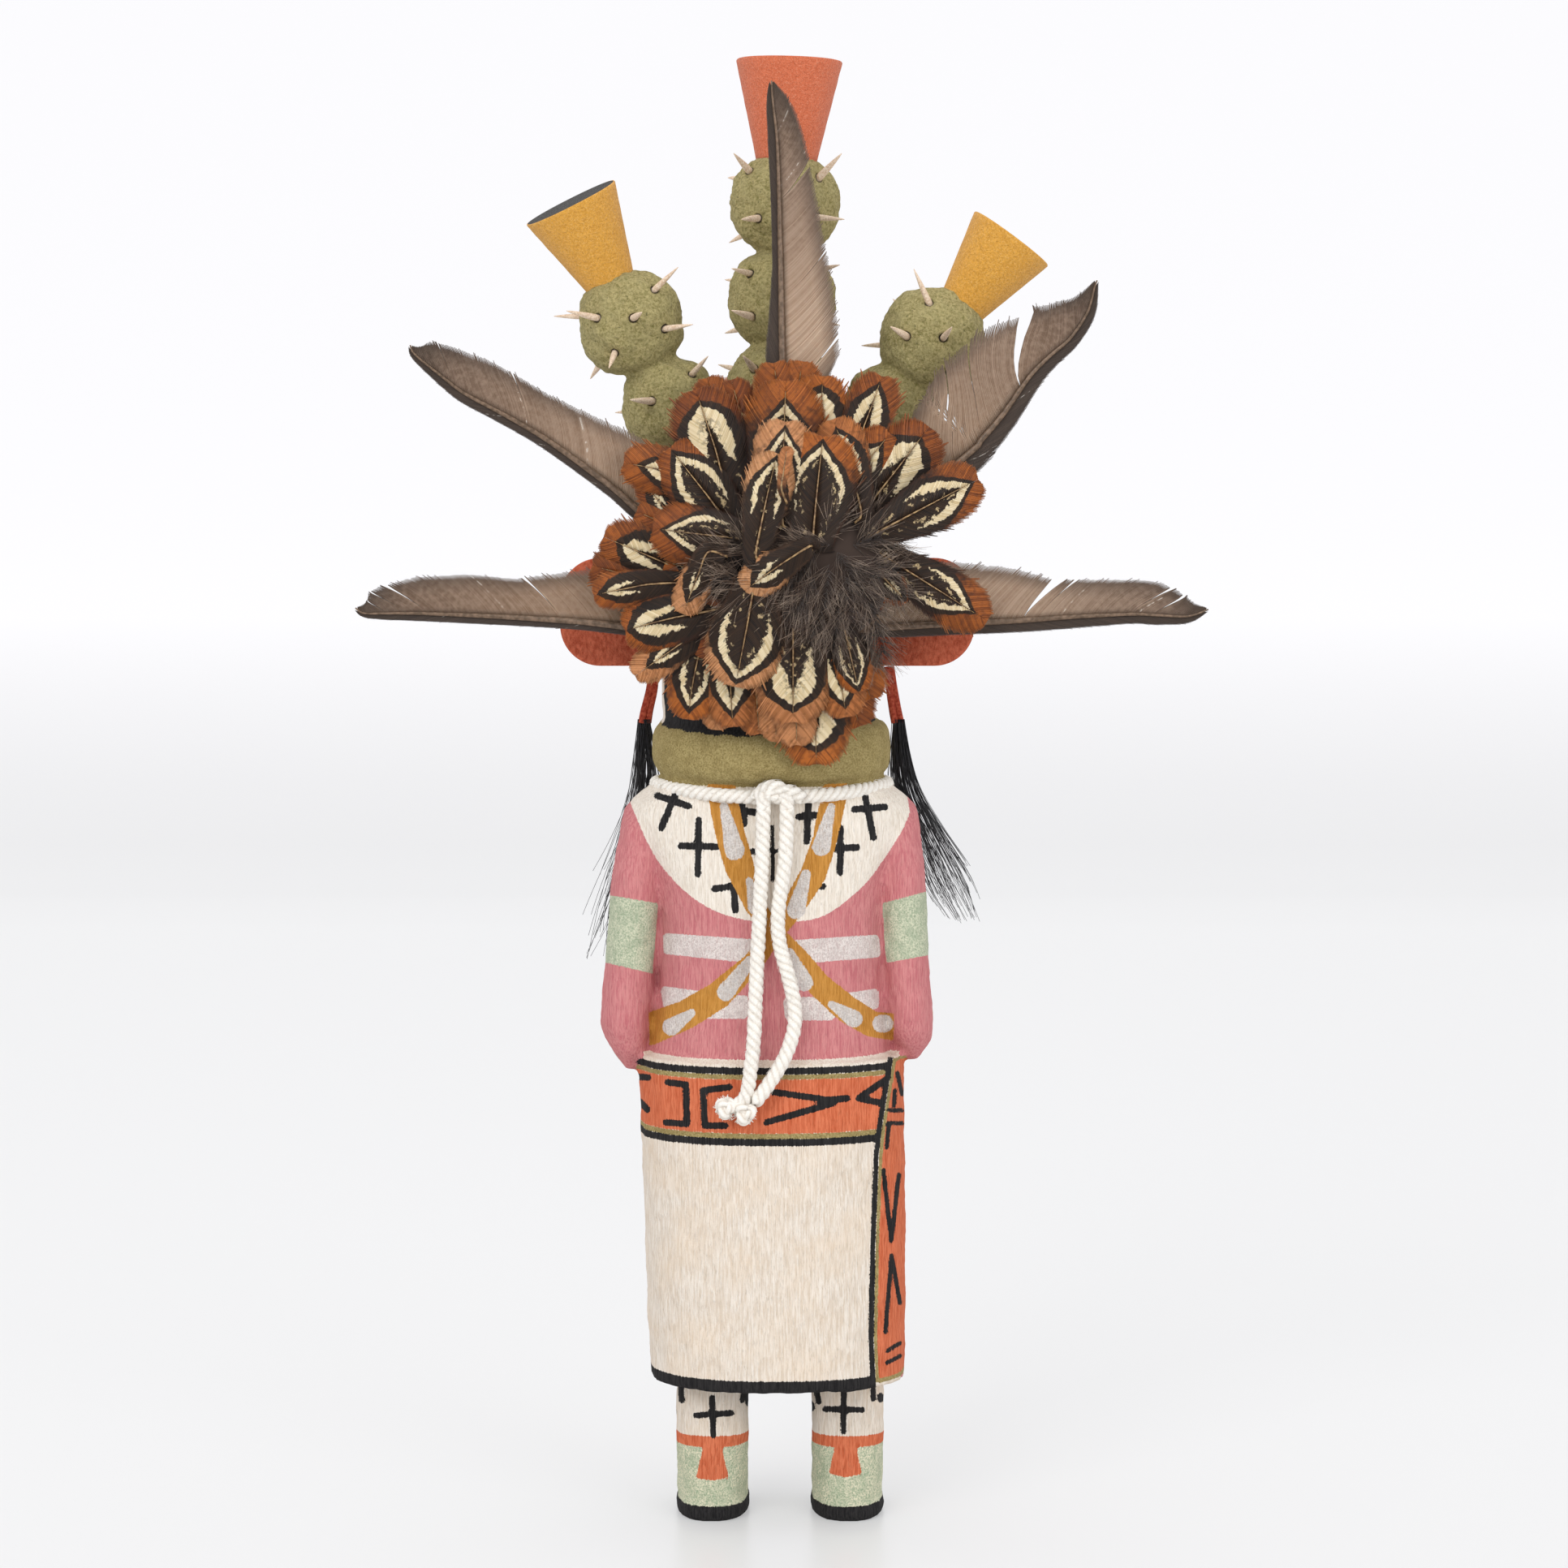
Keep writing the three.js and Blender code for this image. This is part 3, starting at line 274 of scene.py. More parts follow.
def add_piece(name, points, faces, material, replaces=(), slot=None, values=None, raw=False):
    """A piece from points of the drawing and a list of index arrays, each with its own corner count."""
    mesh = bpy.data.meshes.new(name)
    place = to_frame(points)
    mesh.vertices.add(len(place))
    mesh.vertices.foreach_set("co", place.astype(np.float32).ravel())
    corners = np.concatenate([np.asarray(f).ravel() for f in faces])
    counts = np.concatenate([np.full(len(f), np.asarray(f).shape[1]) for f in faces])
    mesh.loops.add(len(corners))
    mesh.loops.foreach_set("vertex_index", corners.astype(np.int32))
    mesh.polygons.add(len(counts))
    starts = np.concatenate([[0], np.cumsum(counts)[:-1]])
    mesh.polygons.foreach_set("loop_start", starts.astype(np.int32))
    mesh.update(calc_edges=True)
    mesh.validate()
    shape = bmesh.new()
    shape.from_mesh(mesh)
    bmesh.ops.recalc_face_normals(shape, faces=shape.faces)
    shape.to_mesh(mesh)
    shape.free()
    obj = bpy.data.objects.new(name, mesh)
    bpy.context.scene.collection.objects.link(obj)
    if raw:
        return obj
    return finish_piece(obj, material, replaces, values)


def finish_piece(obj, material, replaces, values):
    mesh = obj.data
    mesh.shade_smooth()
    for key, numbers in (values or {}).items():
        layer = mesh.attributes.new(key, "FLOAT", "POINT")
        layer.data.foreach_set("value", np.asarray(numbers, np.float32))
    mesh.materials.clear()
    mesh.materials.append(material)
    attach(obj, "root")
    if replaces:
        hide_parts(*replaces)
    return obj


def gather(parts):
    """Several (points, faces) as one."""
    points, faces, start = [], [], 0
    for some_points, some_faces in parts:
        points.append(some_points)
        faces.extend(np.asarray(f) + start for f in some_faces)
        start += len(some_points)
    return np.concatenate(points), faces


def loft(rings):
    """A closed skin over rings of points, rings (R, N, 3), with fans over its two ends."""
    rings = np.asarray(rings, float)
    levels, sides = rings.shape[:2]
    index = np.arange(levels * sides).reshape(levels, sides)
    after = np.roll(index, -1, axis=1)
    quads = np.stack([index[:-1], after[:-1], after[1:], index[1:]], -1).reshape(-1, 4)
    ends = levels * sides
    first = np.stack([after[0], index[0], np.full(sides, ends)], -1)
    last = np.stack([index[-1], after[-1], np.full(sides, ends + 1)], -1)
    points = np.concatenate([rings.reshape(-1, 3), rings[[0, -1]].mean(axis=1)])
    return points, [quads, np.concatenate([first, last])]


def oval_ring(rx, ry, sides, square=2.0):
    turn = (np.arange(sides) + 0.5) / sides * 2 * math.pi
    c, s = np.cos(turn), np.sin(turn)
    power = 2 / square
    return rx * np.sign(c) * np.abs(c) ** power, ry * np.sign(s) * np.abs(s) ** power


def soften(numbers, reach):
    """A moving mean that keeps the two ends."""
    if reach < 2:
        return numbers
    padded = np.concatenate([
        2 * numbers[0] - numbers[reach:0:-1], numbers, 2 * numbers[-1] - numbers[-2:-reach - 2:-1],
    ])
    kernel = np.hanning(2 * reach + 3)[1:-1]
    return np.convolve(padded, kernel / kernel.sum(), "valid")


def column(levels, square=2.0, sides=96, step=1.0, reach=0):
    """A solid through level sections (x, y, z, rx, ry), resampled and rounded between them."""
    levels = np.array(sorted(levels, key=lambda level: level[2]))
    z = np.linspace(levels[0, 2], levels[-1, 2], max(2, int((levels[-1, 2] - levels[0, 2]) / step) + 1))
    x, y, rx, ry = (soften(np.interp(z, levels[:, 2], levels[:, i]), reach) for i in (0, 1, 3, 4))
    rings = []
    for k, height in enumerate(z):
        ring_x, ring_y = oval_ring(rx[k], ry[k], sides, square)
        rings.append(np.stack([x[k] + ring_x, y[k] + ring_y, np.full(sides, height)], -1))
    return loft(rings)


def distances(points):
    """How far along a line each of its points lies."""
    return np.concatenate([[0], np.cumsum(np.linalg.norm(np.diff(points, axis=0), axis=1))])


def spline(points, count):
    """A smooth line through points, as count points at even steps."""
    points = np.asarray(points, float)
    ends = np.vstack([2 * points[0] - points[1], points, 2 * points[-1] - points[-2]])
    dense = []
    share = np.linspace(0, 1, 24, endpoint=False)[:, None]
    for a, b, c, d in zip(ends, ends[1:], ends[2:], ends[3:]):
        dense.append(0.5 * (2 * b + (c - a) * share + (2 * a - 5 * b + 4 * c - d) * share ** 2
                            + (3 * b - a - 3 * c + d) * share ** 3))
    line = np.vstack([*dense, points[-1:]])
    along = distances(line)
    even = np.linspace(0, along[-1], count)
    return np.stack([np.interp(even, along, line[:, i]) for i in range(points.shape[1])], -1)


def unit(vectors):
    return vectors / np.maximum(np.linalg.norm(vectors, axis=-1, keepdims=True), 1e-9)


def frames(paths, helper):
    """The two directions square to each path, paths (S, R, 3)."""
    ahead = unit(np.gradient(paths, axis=-2))
    across = unit(np.cross(np.broadcast_to(np.asarray(helper, float), ahead.shape), ahead))
    return across, np.cross(ahead, across)


def tube_faces(count, levels, sides):
    """The side faces and end caps of closed tubes."""
    index = np.arange(count * levels * sides).reshape(count, levels, sides)
    after = np.roll(index, -1, axis=2)
    quads = np.stack([index[:, :-1], after[:, :-1], after[:, 1:], index[:, 1:]], -1).reshape(-1, 4)
    caps = np.concatenate([index[:, 0, ::-1], index[:, -1]])
    return [quads, caps]


def tubes(paths, radii, sides=6, helper=(0, 1, 0), flat=1.0):
    """Closed tubes along paths (S, R, 3) with radii (S, R)."""
    across, along = frames(paths, helper)
    turn = np.arange(sides) / sides * 2 * math.pi
    ring = (across[..., None, :] * np.cos(turn)[:, None]
            + along[..., None, :] * np.sin(turn)[:, None] * flat)
    points = paths[..., None, :] + ring * radii[..., None, None]
    return points.reshape(-1, 3), tube_faces(*radii.shape, sides)


def strips(centre, half, flat, rise):
    """Closed three-sided strips: centre (S, R, 3), half widths (S, R), flat and rise (S, R, 3)."""
    points = np.stack([centre - flat * half[..., None], centre + flat * half[..., None], centre + rise], 2)
    return points.reshape(-1, 3), tube_faces(*half.shape, 3)


def on_strips(numbers):
    """A number for each centre point of strips, repeated for its three corners."""
    return np.repeat(np.asarray(numbers, float).ravel(), 3)


def ripple(points, size, seed, waves=14):
    """Smooth unevenness between about -1 and 1, with lumps of a given size in millimetres."""
    source = np.random.default_rng(seed)
    total = np.zeros(len(points))
    for _ in range(waves):
        way = unit(source.normal(size=3)) * (2 * math.pi / size) * source.uniform(0.6, 1.5)
        total += np.sin(points @ way + source.uniform(0, 2 * math.pi))
    return total / math.sqrt(waves)


def remeshed(name, parts, voxel_mm, rounds):
    """The union of closed solids as one fine, smoothed skin, as a new object in the frame."""
    obj = add_piece(name, *gather(parts), None, raw=True)
    remesh = obj.modifiers.new("skin", "REMESH")
    remesh.mode = "VOXEL"
    remesh.voxel_size = voxel_mm * MM
    smooth = obj.modifiers.new("smooth", "SMOOTH")
    smooth.factor = 0.5
    smooth.iterations = rounds
    graph = bpy.context.evaluated_depsgraph_get()
    mesh = bpy.data.meshes.new_from_object(obj.evaluated_get(graph))
    bpy.data.objects.remove(obj)
    mesh.name = name
    made = bpy.data.objects.new(name, mesh)
    bpy.context.scene.collection.objects.link(made)
    return made


def read_points(mesh):
    place = np.empty(len(mesh.vertices) * 3, np.float32)
    mesh.vertices.foreach_get("co", place)
    normals = np.empty(len(mesh.vertices) * 3, np.float32)
    mesh.vertices.foreach_get("normal", normals)
    return (place.reshape(-1, 3).astype(float) - SHIFT) / MM, normals.reshape(-1, 3).astype(float)


def write_points(mesh, points):
    mesh.vertices.foreach_set("co", to_frame(points).astype(np.float32).ravel())
    mesh.update()


# Cotton cord

CORD_DIAMETER = 4.0
CORD_LAY = 6.9
CORD_STRANDS = 3
STRAND_SHARE = 0.262
GROOVE_SHARE = 0.16
CORD_STEPS = 161
CORD_ENDS = {
    "cord_end_left": [
        (-3, -29.2, 198.8), (-3.2, -29.5, 192), (-3.4, -29.4, 184), (-3.9, -29.1, 174),
        (-4.4, -28.9, 164), (-4.9, -28.9, 154), (-5.3, -29.2, 144), (-5.7, -30.2, 135.5),
        (-6.5, -31.1, 128.5), (-7.1, -31.4, 123.6), (-8.2, -31.2, 120.4), (-10.8, -31.1, 118.4),
    ],
    "cord_end_right": [
        (3.2, -29.2, 198.5), (3.1, -29.5, 192), (2.7, -29.4, 184), (1.4, -29.1, 175),
        (0.8, -28.9, 168), (1.5, -28.9, 161), (3.6, -28.9, 153.5), (5.2, -29.2, 146),
        (5.2, -29.9, 140), (3.8, -30.8, 134.5), (1.2, -31.4, 129), (-2.2, -31.6, 123.7),
        (-5.3, -31.8, 119.6),
    ],
}
# Each end knot's middle, its half sizes and the number of its frayed fibres
END_KNOTS = {
    "cord_end_left": ((-13.2, -31.5, 118.2), (1.6, 1.3, 1.9), 450),
    "cord_end_right": ((-8.1, -31.5, 116.9), (2.1, 1.6, 2.2), 160),
}
NECK_RING = {"x": -1, "y": 0, "rx": 31.6, "ry": 25.8, "side_z": 203.4, "back_z": 201.2}
NECK_KNOT = (0.6, -28.4, 202.4)


def cotton():
    shader = Shader("cotton", roughness=0.95, specular=0.1, sheen=0.25)
    fine = shader.noise(2.6, 3)
    pale = shader.tint(fine, 0.3, 0.7, "#ECE5DA", "#FBF8F2")
    # Painted shade: the cord darkens towards the bottom of the grooves between its strands, and at the roots
    # of the knots' tufts
    groove_shade = shader.ramp(shader.value("groove_shade"), 0.0, 1.0, 0.0, 0.6)
    shader.colour(shader.mix(groove_shade, pale, rgb("#CBBCAB")))
    shader.bump(fine, 0.14)
    return shader.material


def rope(path, helper, lay=CORD_LAY, diameter=CORD_DIAMETER, sides=10):
    """Twisted strands along a path (R, 3), and how deep in its grooves each point lies, 0 to 1, which the
    cotton shader paints as shade.
    """
    across, along = frames(path, helper)
    run = distances(path)
    strand = diameter * STRAND_SHARE
    parts, depths = [], []
    for k in range(CORD_STRANDS):
        turn = -run / lay * 2 * math.pi + k / CORD_STRANDS * 2 * math.pi
        centre = path + (diameter / 2 - strand) * (
            across * np.cos(turn)[:, None] + along * np.sin(turn)[:, None])
        part = tubes(centre[None], np.full((1, len(path)), strand), sides, helper)
        parts.append(part)
        out = np.linalg.norm(part[0] - np.repeat(path, sides, axis=0), axis=1)
        depths.append(np.clip((diameter / 2 - out) / (diameter * GROOVE_SHARE), 0, 1))
    points, faces = gather(parts)
    return points, faces, np.concatenate(depths)


def cord_fibres(path, helper, count, seed, diameter=CORD_DIAMETER, reach=0.5):
    """Loose fibres that lift a little off the cord's surface."""
    source = np.random.default_rng(seed)
    across, along = frames(path, helper)
    steps = np.arange(5)
    gap = np.mean(np.linalg.norm(np.diff(path, axis=0), axis=1))
    start = source.uniform(0, len(path) - 1 - 3.2 / gap, count)
    place = start[:, None] + steps * source.uniform(0.3, 0.8, (count, 1)) / gap
    pick = np.clip(place, 0, len(path) - 1).astype(int)
    turn = source.uniform(0, 2 * math.pi, (count, 1)) + steps * source.normal(0, 0.16, (count, 1))
    out = diameter / 2 * 0.92 + reach * source.uniform(0.1, 1, (count, 1)) * (steps / 4) ** 1.3
    centre = path[pick] + out[..., None] * (
        across[pick] * np.cos(turn)[..., None] + along[pick] * np.sin(turn)[..., None])
    half = np.full(centre.shape[:2], 0.035)
    return tubes(centre, half, 3, (0.3, 0.9, 0.2))


def end_knot(middle, seed, size, tufts):
    """An overhand knot with a frayed tuft."""
    source = np.random.default_rng(seed)
    turn = np.linspace(0, 2 * math.pi, 91)
    x = (np.sin(turn) + 2 * np.sin(2 * turn)) / 3
    z = (np.cos(turn) - 2 * np.cos(2 * turn)) / 3
    y = -np.sin(3 * turn)
    loop = np.array(middle) + np.stack([x * size[0], y * size[1], z * size[2]], -1)
    points, faces, groove_shade = rope(loop, (0.2, 0.9, 0.3), lay=6, diameter=2.9)
    way = unit(source.normal(size=(tufts, 3)) * np.array([1, 0.7, 1]) + np.array([-0.35, -0.1, -0.25]))
    steps = np.linspace(0.2, 1, 5)[None, :, None]
    length = source.uniform(0.9, 1.75, (tufts, 1, 1))
    bend = source.normal(0, 0.3, (tufts, 1, 3)) * steps ** 2
    centre = np.array(middle) + way[:, None] * steps * length * np.array(size) * 1.05 + bend
    fray = tubes(centre, np.full(centre.shape[:2], 0.1), 3, (0.4, 0.8, 0.3))
    points, faces = gather([(points, faces), fray])
    # Painted shade on the tufts, darkest where they leave the knot
    return points, faces, np.concatenate([groove_shade, np.repeat(np.tile([0.8, 0.4, 0.1, 0, 0], tufts), 3)])


def add_cotton(name, ropes, fibres, material, node):
    points, faces = gather([one[:2] for one in ropes] + fibres)
    groove_shade = np.concatenate([one[2] for one in ropes] + [np.zeros(len(one[0])) for one in fibres])
    return add_piece(name, points, faces, material, [node], "cotton_cord", {"groove_shade": groove_shade})


def free_cords(material):
    for name, points in CORD_ENDS.items():
        path = spline(points, CORD_STEPS)
        middle, size, tufts = END_KNOTS[name]
        node = name.replace("cord_end", "end_knot")
        knot = add_cotton(node + "_cotton", [end_knot(middle, len(name), size, tufts)], [], material, node)
        cord = add_cotton(name + "_cotton", [rope(path, (0, 1, 0))],
                          [cord_fibres(path, (0, 1, 0), 420, len(name) + 3)], material, name)


def neck_cord(material):
    turn = np.linspace(0, 2 * math.pi, 301) - math.pi / 2
    dip = np.maximum(0, -np.sin(turn)) ** 2
    path = np.stack([
        NECK_RING["x"] + NECK_RING["rx"] * np.cos(turn), NECK_RING["y"] + NECK_RING["ry"] * np.sin(turn),
        NECK_RING["side_z"] + (NECK_RING["back_z"] - NECK_RING["side_z"]) * dip,
    ], -1)
    x, y, z = NECK_KNOT
    over = spline([
        (x - 5.6, y + 1.2, z - 1.4), (x - 3.6, y - 0.6, z + 0.9), (x - 0.6, y - 1.6, z + 1.9),
        (x + 2.2, y - 1.2, z + 0.2), (x + 2.6, y - 0.8, z - 2.4), (x + 2.6, y - 0.8, z - 4.4),
    ], 41)
    under = spline([
        (x + 6.4, y + 1.2, z - 1.2), (x + 3.4, y - 0.9, z + 0.6), (x + 0.2, y - 0.4, z - 0.8),
        (x - 2.4, y - 1.6, z + 0.4), (x - 3.6, y - 1.0, z - 2.0), (x - 3.6, y - 0.8, z - 4.0),
    ], 41)
    ropes = [rope(path, (0, 0, 1)), rope(over, (0, 1, 0)), rope(under, (0, 1, 0))]
    fibres = [cord_fibres(path, (0, 0, 1), 700, 5), cord_fibres(over, (0, 1, 0), 120, 40),
              cord_fibres(under, (0, 1, 0), 120, 41)]
    add_cotton("neck_cord_cotton", ropes, fibres, material, "neck_cord")


# The carved figure, by the same sections as the part's own

HEM_Z = 39.4
KILT_TOP_Z = 129.5
RUFF_BOTTOM_Z = 206.6
RUFF_TILT = math.radians(3)
HEAD_HALF_WIDTH = 28.95
HEAD_HALF_DEPTH = 27
LEG_XS = (-17.4, 20.1)
KILT_HALF = (35.6, 28)
PANEL_FRONT_Y = 9
HEAD_SQUARE = 2.1
KILT_SQUARE = 2.35
BODY_VOXEL = 0.95


def leg(x):
    middle, calf, half = 6.5, -1, 17.5
    return column([
        (x, middle, 0, 9.6, half - 0.6), (x, middle, 0.8, 10.2, half), (x, middle, 3.3, 10.2, half),
        (x, middle, 3.9, 9.6, half - 0.7), (x, middle - 0.6, 10, 9.8, half - 1.2),
        (x, middle - 2.8, 14.5, 9.8, half - 3.4), (x, calf + 2.6, 19, 9.9, 12.4), (x, calf, 24, 10, 9.8),
        (x, calf, 45, 9.9, 9.9),
    ], 2.5, step=0.5)


def kilt(grow=0.0):
    wide, deep = KILT_HALF[0] + grow, KILT_HALF[1] + grow
    return column([
        (0.4, 0, HEM_Z, wide - 0.9, deep - 0.2), (0, 0, HEM_Z + 20, wide - 0.3, deep),
        (-0.4, 0, 84.4, wide, deep), (-1, 0, KILT_TOP_Z - 22, wide + 0.3, deep),
        (-1.5, 0, KILT_TOP_Z, wide + 0.5, deep - 0.2),
    ], KILT_SQUARE, reach=8)


def kilt_overlap():
    """The kilt's second layer on the doll's right side, as a shell cut to the flap's edges."""
    points, faces = kilt(0.75)
    x_edge = 27.6 - 0.026 * (points[:, 2] - 84)
    inside = (points[:, 0] < x_edge) | (points[:, 1] > PANEL_FRONT_Y)
    pulled = points.copy()
    pulled[inside, :2] *= 0.93
    return pulled, faces


def trunk():
    return column([
        (-1.5, 0, 123.5, 33.2, 25.8), (-1.5, 0, 130.5, 33.2, 25.8), (-0.9, 0, 149, 31.2, 25.2),
        (-0.9, 0, 166, 30.8, 25.6), (-1, 0, 176, 32.8, 25.2), (-1.1, 0, 187, 37.3, 24.6),
        (-1.2, 0, 194, 40.1, 23.6), (-1.2, 0, 198, 39.7, 23.4), (-1.1, 0, 201.5, 35.3, 23.4),
        (-1, 0, 205.6, 29.8, 23.4), (-1, 0, 212.6, 28.8, 23.4),
    ], 2.2, reach=4)


ARMS = {
    -1: [(-34.9, 197.4, 6, 7), (-35.7, 192, 6.6, 10.4), (-37.7, 178, 7, 12), (-40.1, 149, 7, 12),
         (-41.1, 137, 7, 11.5), (-40.2, 130.5, 5, 9), (-39.6, 125, 1.6, 5)],
    1: [(32.7, 197.1, 6, 7), (33.4, 192, 6.3, 10.4), (34.6, 178, 6.6, 12), (36, 149, 6.5, 12),
        (37.2, 137, 6.6, 11.5), (37.4, 132, 4.6, 9), (37.8, 127.6, 1.5, 5)],
}
FOREARM = [(1, -6, 135), (1, 6, 135.5), (0.93, 17.2, 139), (0.76, 24.2, 144), (0.5, 27.6, 148.5),
           (0.26, 28.2, 151)]
ELBOWS = {-1: -40.6, 1: 37.2}


def forearm_line(side, knots, count):
    return spline([(share * ELBOWS[side], y, z) for share, y, z in knots], count)


def arm(side):
    upper = column([(x, -2, z, rx, ry) for x, z, rx, ry in ARMS[side]], 2.4, step=0.7, reach=5)
    line = forearm_line(side, FOREARM, 40)
    across, along = frames(line, (0, 0, 1))
    place = np.linspace(0, 5, 40)
    half_a = np.interp(place, range(6), [6, 6.2, 5.8, 4.8, 4.4, 2.4])
    half_b = np.interp(place, range(6), [5.4, 5.8, 5.8, 4.8, 5.4, 4])
    ring_x, ring_y = oval_ring(1, 1, 40)
    rings = (line[:, None] + across[:, None] * ring_x[None, :, None] * half_a[:, None, None]
             + along[:, None] * ring_y[None, :, None] * half_b[:, None, None])
    return [upper, loft(rings)]


def ruff():
    heights = [0, 0.7, 1.8, 4.4, 8.8, 12.2, 13.8, 14.6]
    wider = [-3.4, -1.9, -0.9, -0.1, 0, -0.8, -1.9, -3.4]
    rings = []
    for rise, grow in zip(heights, wider):
        x, y = oval_ring(32.8 + grow, 28.5 + grow, 96, 2.1)
        z = RUFF_BOTTOM_Z - 0.4 + rise * math.cos(RUFF_TILT) + y * math.sin(RUFF_TILT)
        rings.append(np.stack([x - 1, y * math.cos(RUFF_TILT) - rise * math.sin(RUFF_TILT), z], -1))
    return loft(rings)


def head():
    wide, deep = HEAD_HALF_WIDTH, HEAD_HALF_DEPTH
    return column([
        (HEAD_X, 0, 214.6, wide - 0.6, deep - 0.6), (HEAD_X, 0, 232.6, wide, deep),
        (HEAD_X, 0, HEAD_TOP_Z - 3, wide, deep), (HEAD_X, 0, HEAD_TOP_Z - 1, wide - 0.8, deep - 0.8),
        (HEAD_X, 0, HEAD_TOP_Z, wide - 2.4, deep - 2.4),
    ], HEAD_SQUARE, step=0.8)


# Painted shapes on the back, in the photograph's pixels

YOKE_EDGE = [
    (777, 984), (789, 1013), (801, 1039), (820, 1068), (851, 1099), (885, 1119), (927, 1130), (975, 1131),
    (1018, 1122), (1064, 1086), (1089, 1053), (1109, 1022), (1121, 996),
]
YOKE_TOP = [(1110, 930), (790, 930)]
YOKE_STROKES = [
    ((810, 975), (849, 988)), ((835, 967), (815, 1015)), ((861, 1005), (860, 1072)),
    ((839, 1037), (885, 1038)), ((914, 980), (917, 1010)), ((914, 994), (933, 996)),
    ((904, 1083), (906, 1117)), ((880, 1090), (904, 1087)), ((926, 1044), (932, 1044)),
    ((996, 984), (994, 1032)), ((984, 1001), (1008, 999)), ((1035, 1015), (1035, 1070)),
    ((1024, 1040), (1056, 1039)), ((1052, 992), (1090, 989)), ((1066, 977), (1076, 1027)),
    ((1008, 1087), (1014, 1087)),
]
ROUGH_STROKE = [((951, 1012), (952, 1045)), ((952, 1045), (952, 1080)), ((945, 1043), (962, 1043))]
BELT_STROKES = [
    ((822, 1330), (845, 1333)), ((845, 1333), (846, 1382)), ((846, 1382), (820, 1380)),
    ((899, 1336), (866, 1340)), ((866, 1340), (868, 1384)), ((868, 1384), (894, 1384)),
    ((952, 1342), (1020, 1352)), ((1020, 1352), (1044, 1350)), ((944, 1380), (1027, 1356)),
    ((1058, 1350), (1094, 1325)), ((1058, 1350), (1087, 1356)), ((786, 1323), (798, 1324)),
    ((788, 1354), (797, 1364)),
]
PANEL_LINE = [
    (1099, 1290), (1094, 1322), (1084, 1385), (1080, 1422), (1076, 1537), (1074, 1652), (1077, 1712),
]
PANEL_STROKES = [
    ((1095, 1365), (1112, 1365)), ((1094, 1381), (1112, 1381)), ((1096, 1382), (1093, 1411)),
    ((1106, 1318), (1112, 1345)), ((1103, 1340), (1102, 1358)),
    ((1089, 1439), (1099, 1528)), ((1099, 1528), (1108, 1445)), ((1099, 1546), (1092, 1643)),
    ((1099, 1546), (1110, 1606)), ((1094, 1666), (1110, 1656)), ((1094, 1681), (1110, 1672)),
]
LEG_STROKES = [
    ((877, 1724), (878, 1773)), ((856, 1747), (901, 1744)), ((1040, 1717), (1040, 1768)),
    ((1017, 1739), (1063, 1740)), ((838, 1700), (839, 1728)), ((828, 1738), (829, 1744)),
    ((918, 1712), (914, 1728)), ((922, 1712), (922, 1732)), ((1006, 1712), (1009, 1730)),
    ((1000, 1732), (1001, 1738)), ((1076, 1700), (1077, 1726)), ((1086, 1722), (1086, 1727)),
]
STRAPS = [
    [(889, 968, 18), (899, 1020, 18), (911, 1062, 18), (930, 1112, 12), (958, 1146, 10),
     (985, 1178, 13), (1010, 1210, 15), (1045, 1240, 17), (1075, 1258, 16), (1108, 1262, 17)],
    [(1029, 968, 16), (1016, 1030, 15), (1002, 1072, 16), (978, 1112, 14), (955, 1146, 10),
     (925, 1184, 13), (885, 1222, 17), (845, 1246, 18), (800, 1264, 20)],
]
OVALS = [
    [(892, 987, 5), (905, 1042, 12.5)], [(923, 1079, 4), (931, 1112, 10)],
    [(1024, 989, 5), (1012, 1038, 11.5)], [(993, 1072, 6), (981, 1116, 11.5)],
    [(924, 1180, 7), (894, 1218, 11)], [(972, 1170, 7), (991, 1206, 11)],
    [(1024, 1233, 4.5), (1052, 1251, 11)], [(852, 1244, 5), (827, 1261, 11)],
    [(1086, 1257, 11), (1090, 1257, 11)],
]
STRIPES = [
    [(822, 1150), (935, 1158), (935, 1178), (822, 1166)],
    [(970, 1159), (1078, 1152), (1080, 1170), (970, 1179)],
    [(819, 1216), (880, 1224), (870, 1232), (822, 1234)],
    [(880, 1227), (917, 1227), (917, 1246), (870, 1246)],
    [(970, 1229), (1040, 1229), (1023, 1248), (972, 1248)],
    [(1030, 1226), (1078, 1219), (1078, 1234), (1050, 1240)],
]
STRIPE_CORNER = 5
ARMBANDS = [
    [(740, 1097), (758, 1099), (811, 1108), (804, 1195), (749, 1182), (736, 1180)],
    [(1087, 1108), (1139, 1094), (1160, 1092), (1160, 1168), (1144, 1172), (1092, 1182)],
]
PENDANTS = [
    [(866, 1786), (888, 1786), (897, 1826), (877, 1829), (856, 1826)],
    [(1030, 1780), (1054, 1780), (1063, 1821), (1043, 1825), (1022, 1820)],
]
# Widths of the strokes in pixels
STROKE_WIDTHS = {"yoke": 8.6, "rough": 5, "belt": 8.4, "legs": 7.6, "panel": 5.6}
# Painted heights: bands from their lower to their upper edge, and black lines by middle and half height
SHIRT_BOTTOM_Z = 130.3
SHIRT_TOP_Z = 206
BOOTS = (3.2, 22)
ANKLES = (20.9, 24.0)
SOLE_TOP_Z = 4.3
BELT_INNER = (110.6, 125.2)
BELT_OLIVES = [(125.1, 126.6), (109, 110.7)]
BELT_BLACKS = [(127.5, 0.95), (108.2, 1.0)]
# The face's marks: height, half height and half width
EYES = (250, 1.9, 4)
EYES_APART = 10.5
MOUTH = (230, 1.7, 6)
BROW = (270, 0.9)
FACE_Y = 5
# The arms lie outside the first two of these, and the kilt's flap beyond the next one
ARM_XS = (-36.3, 34.4)
FLAP_X = 20
FOREARM_RADIUS = 6.9
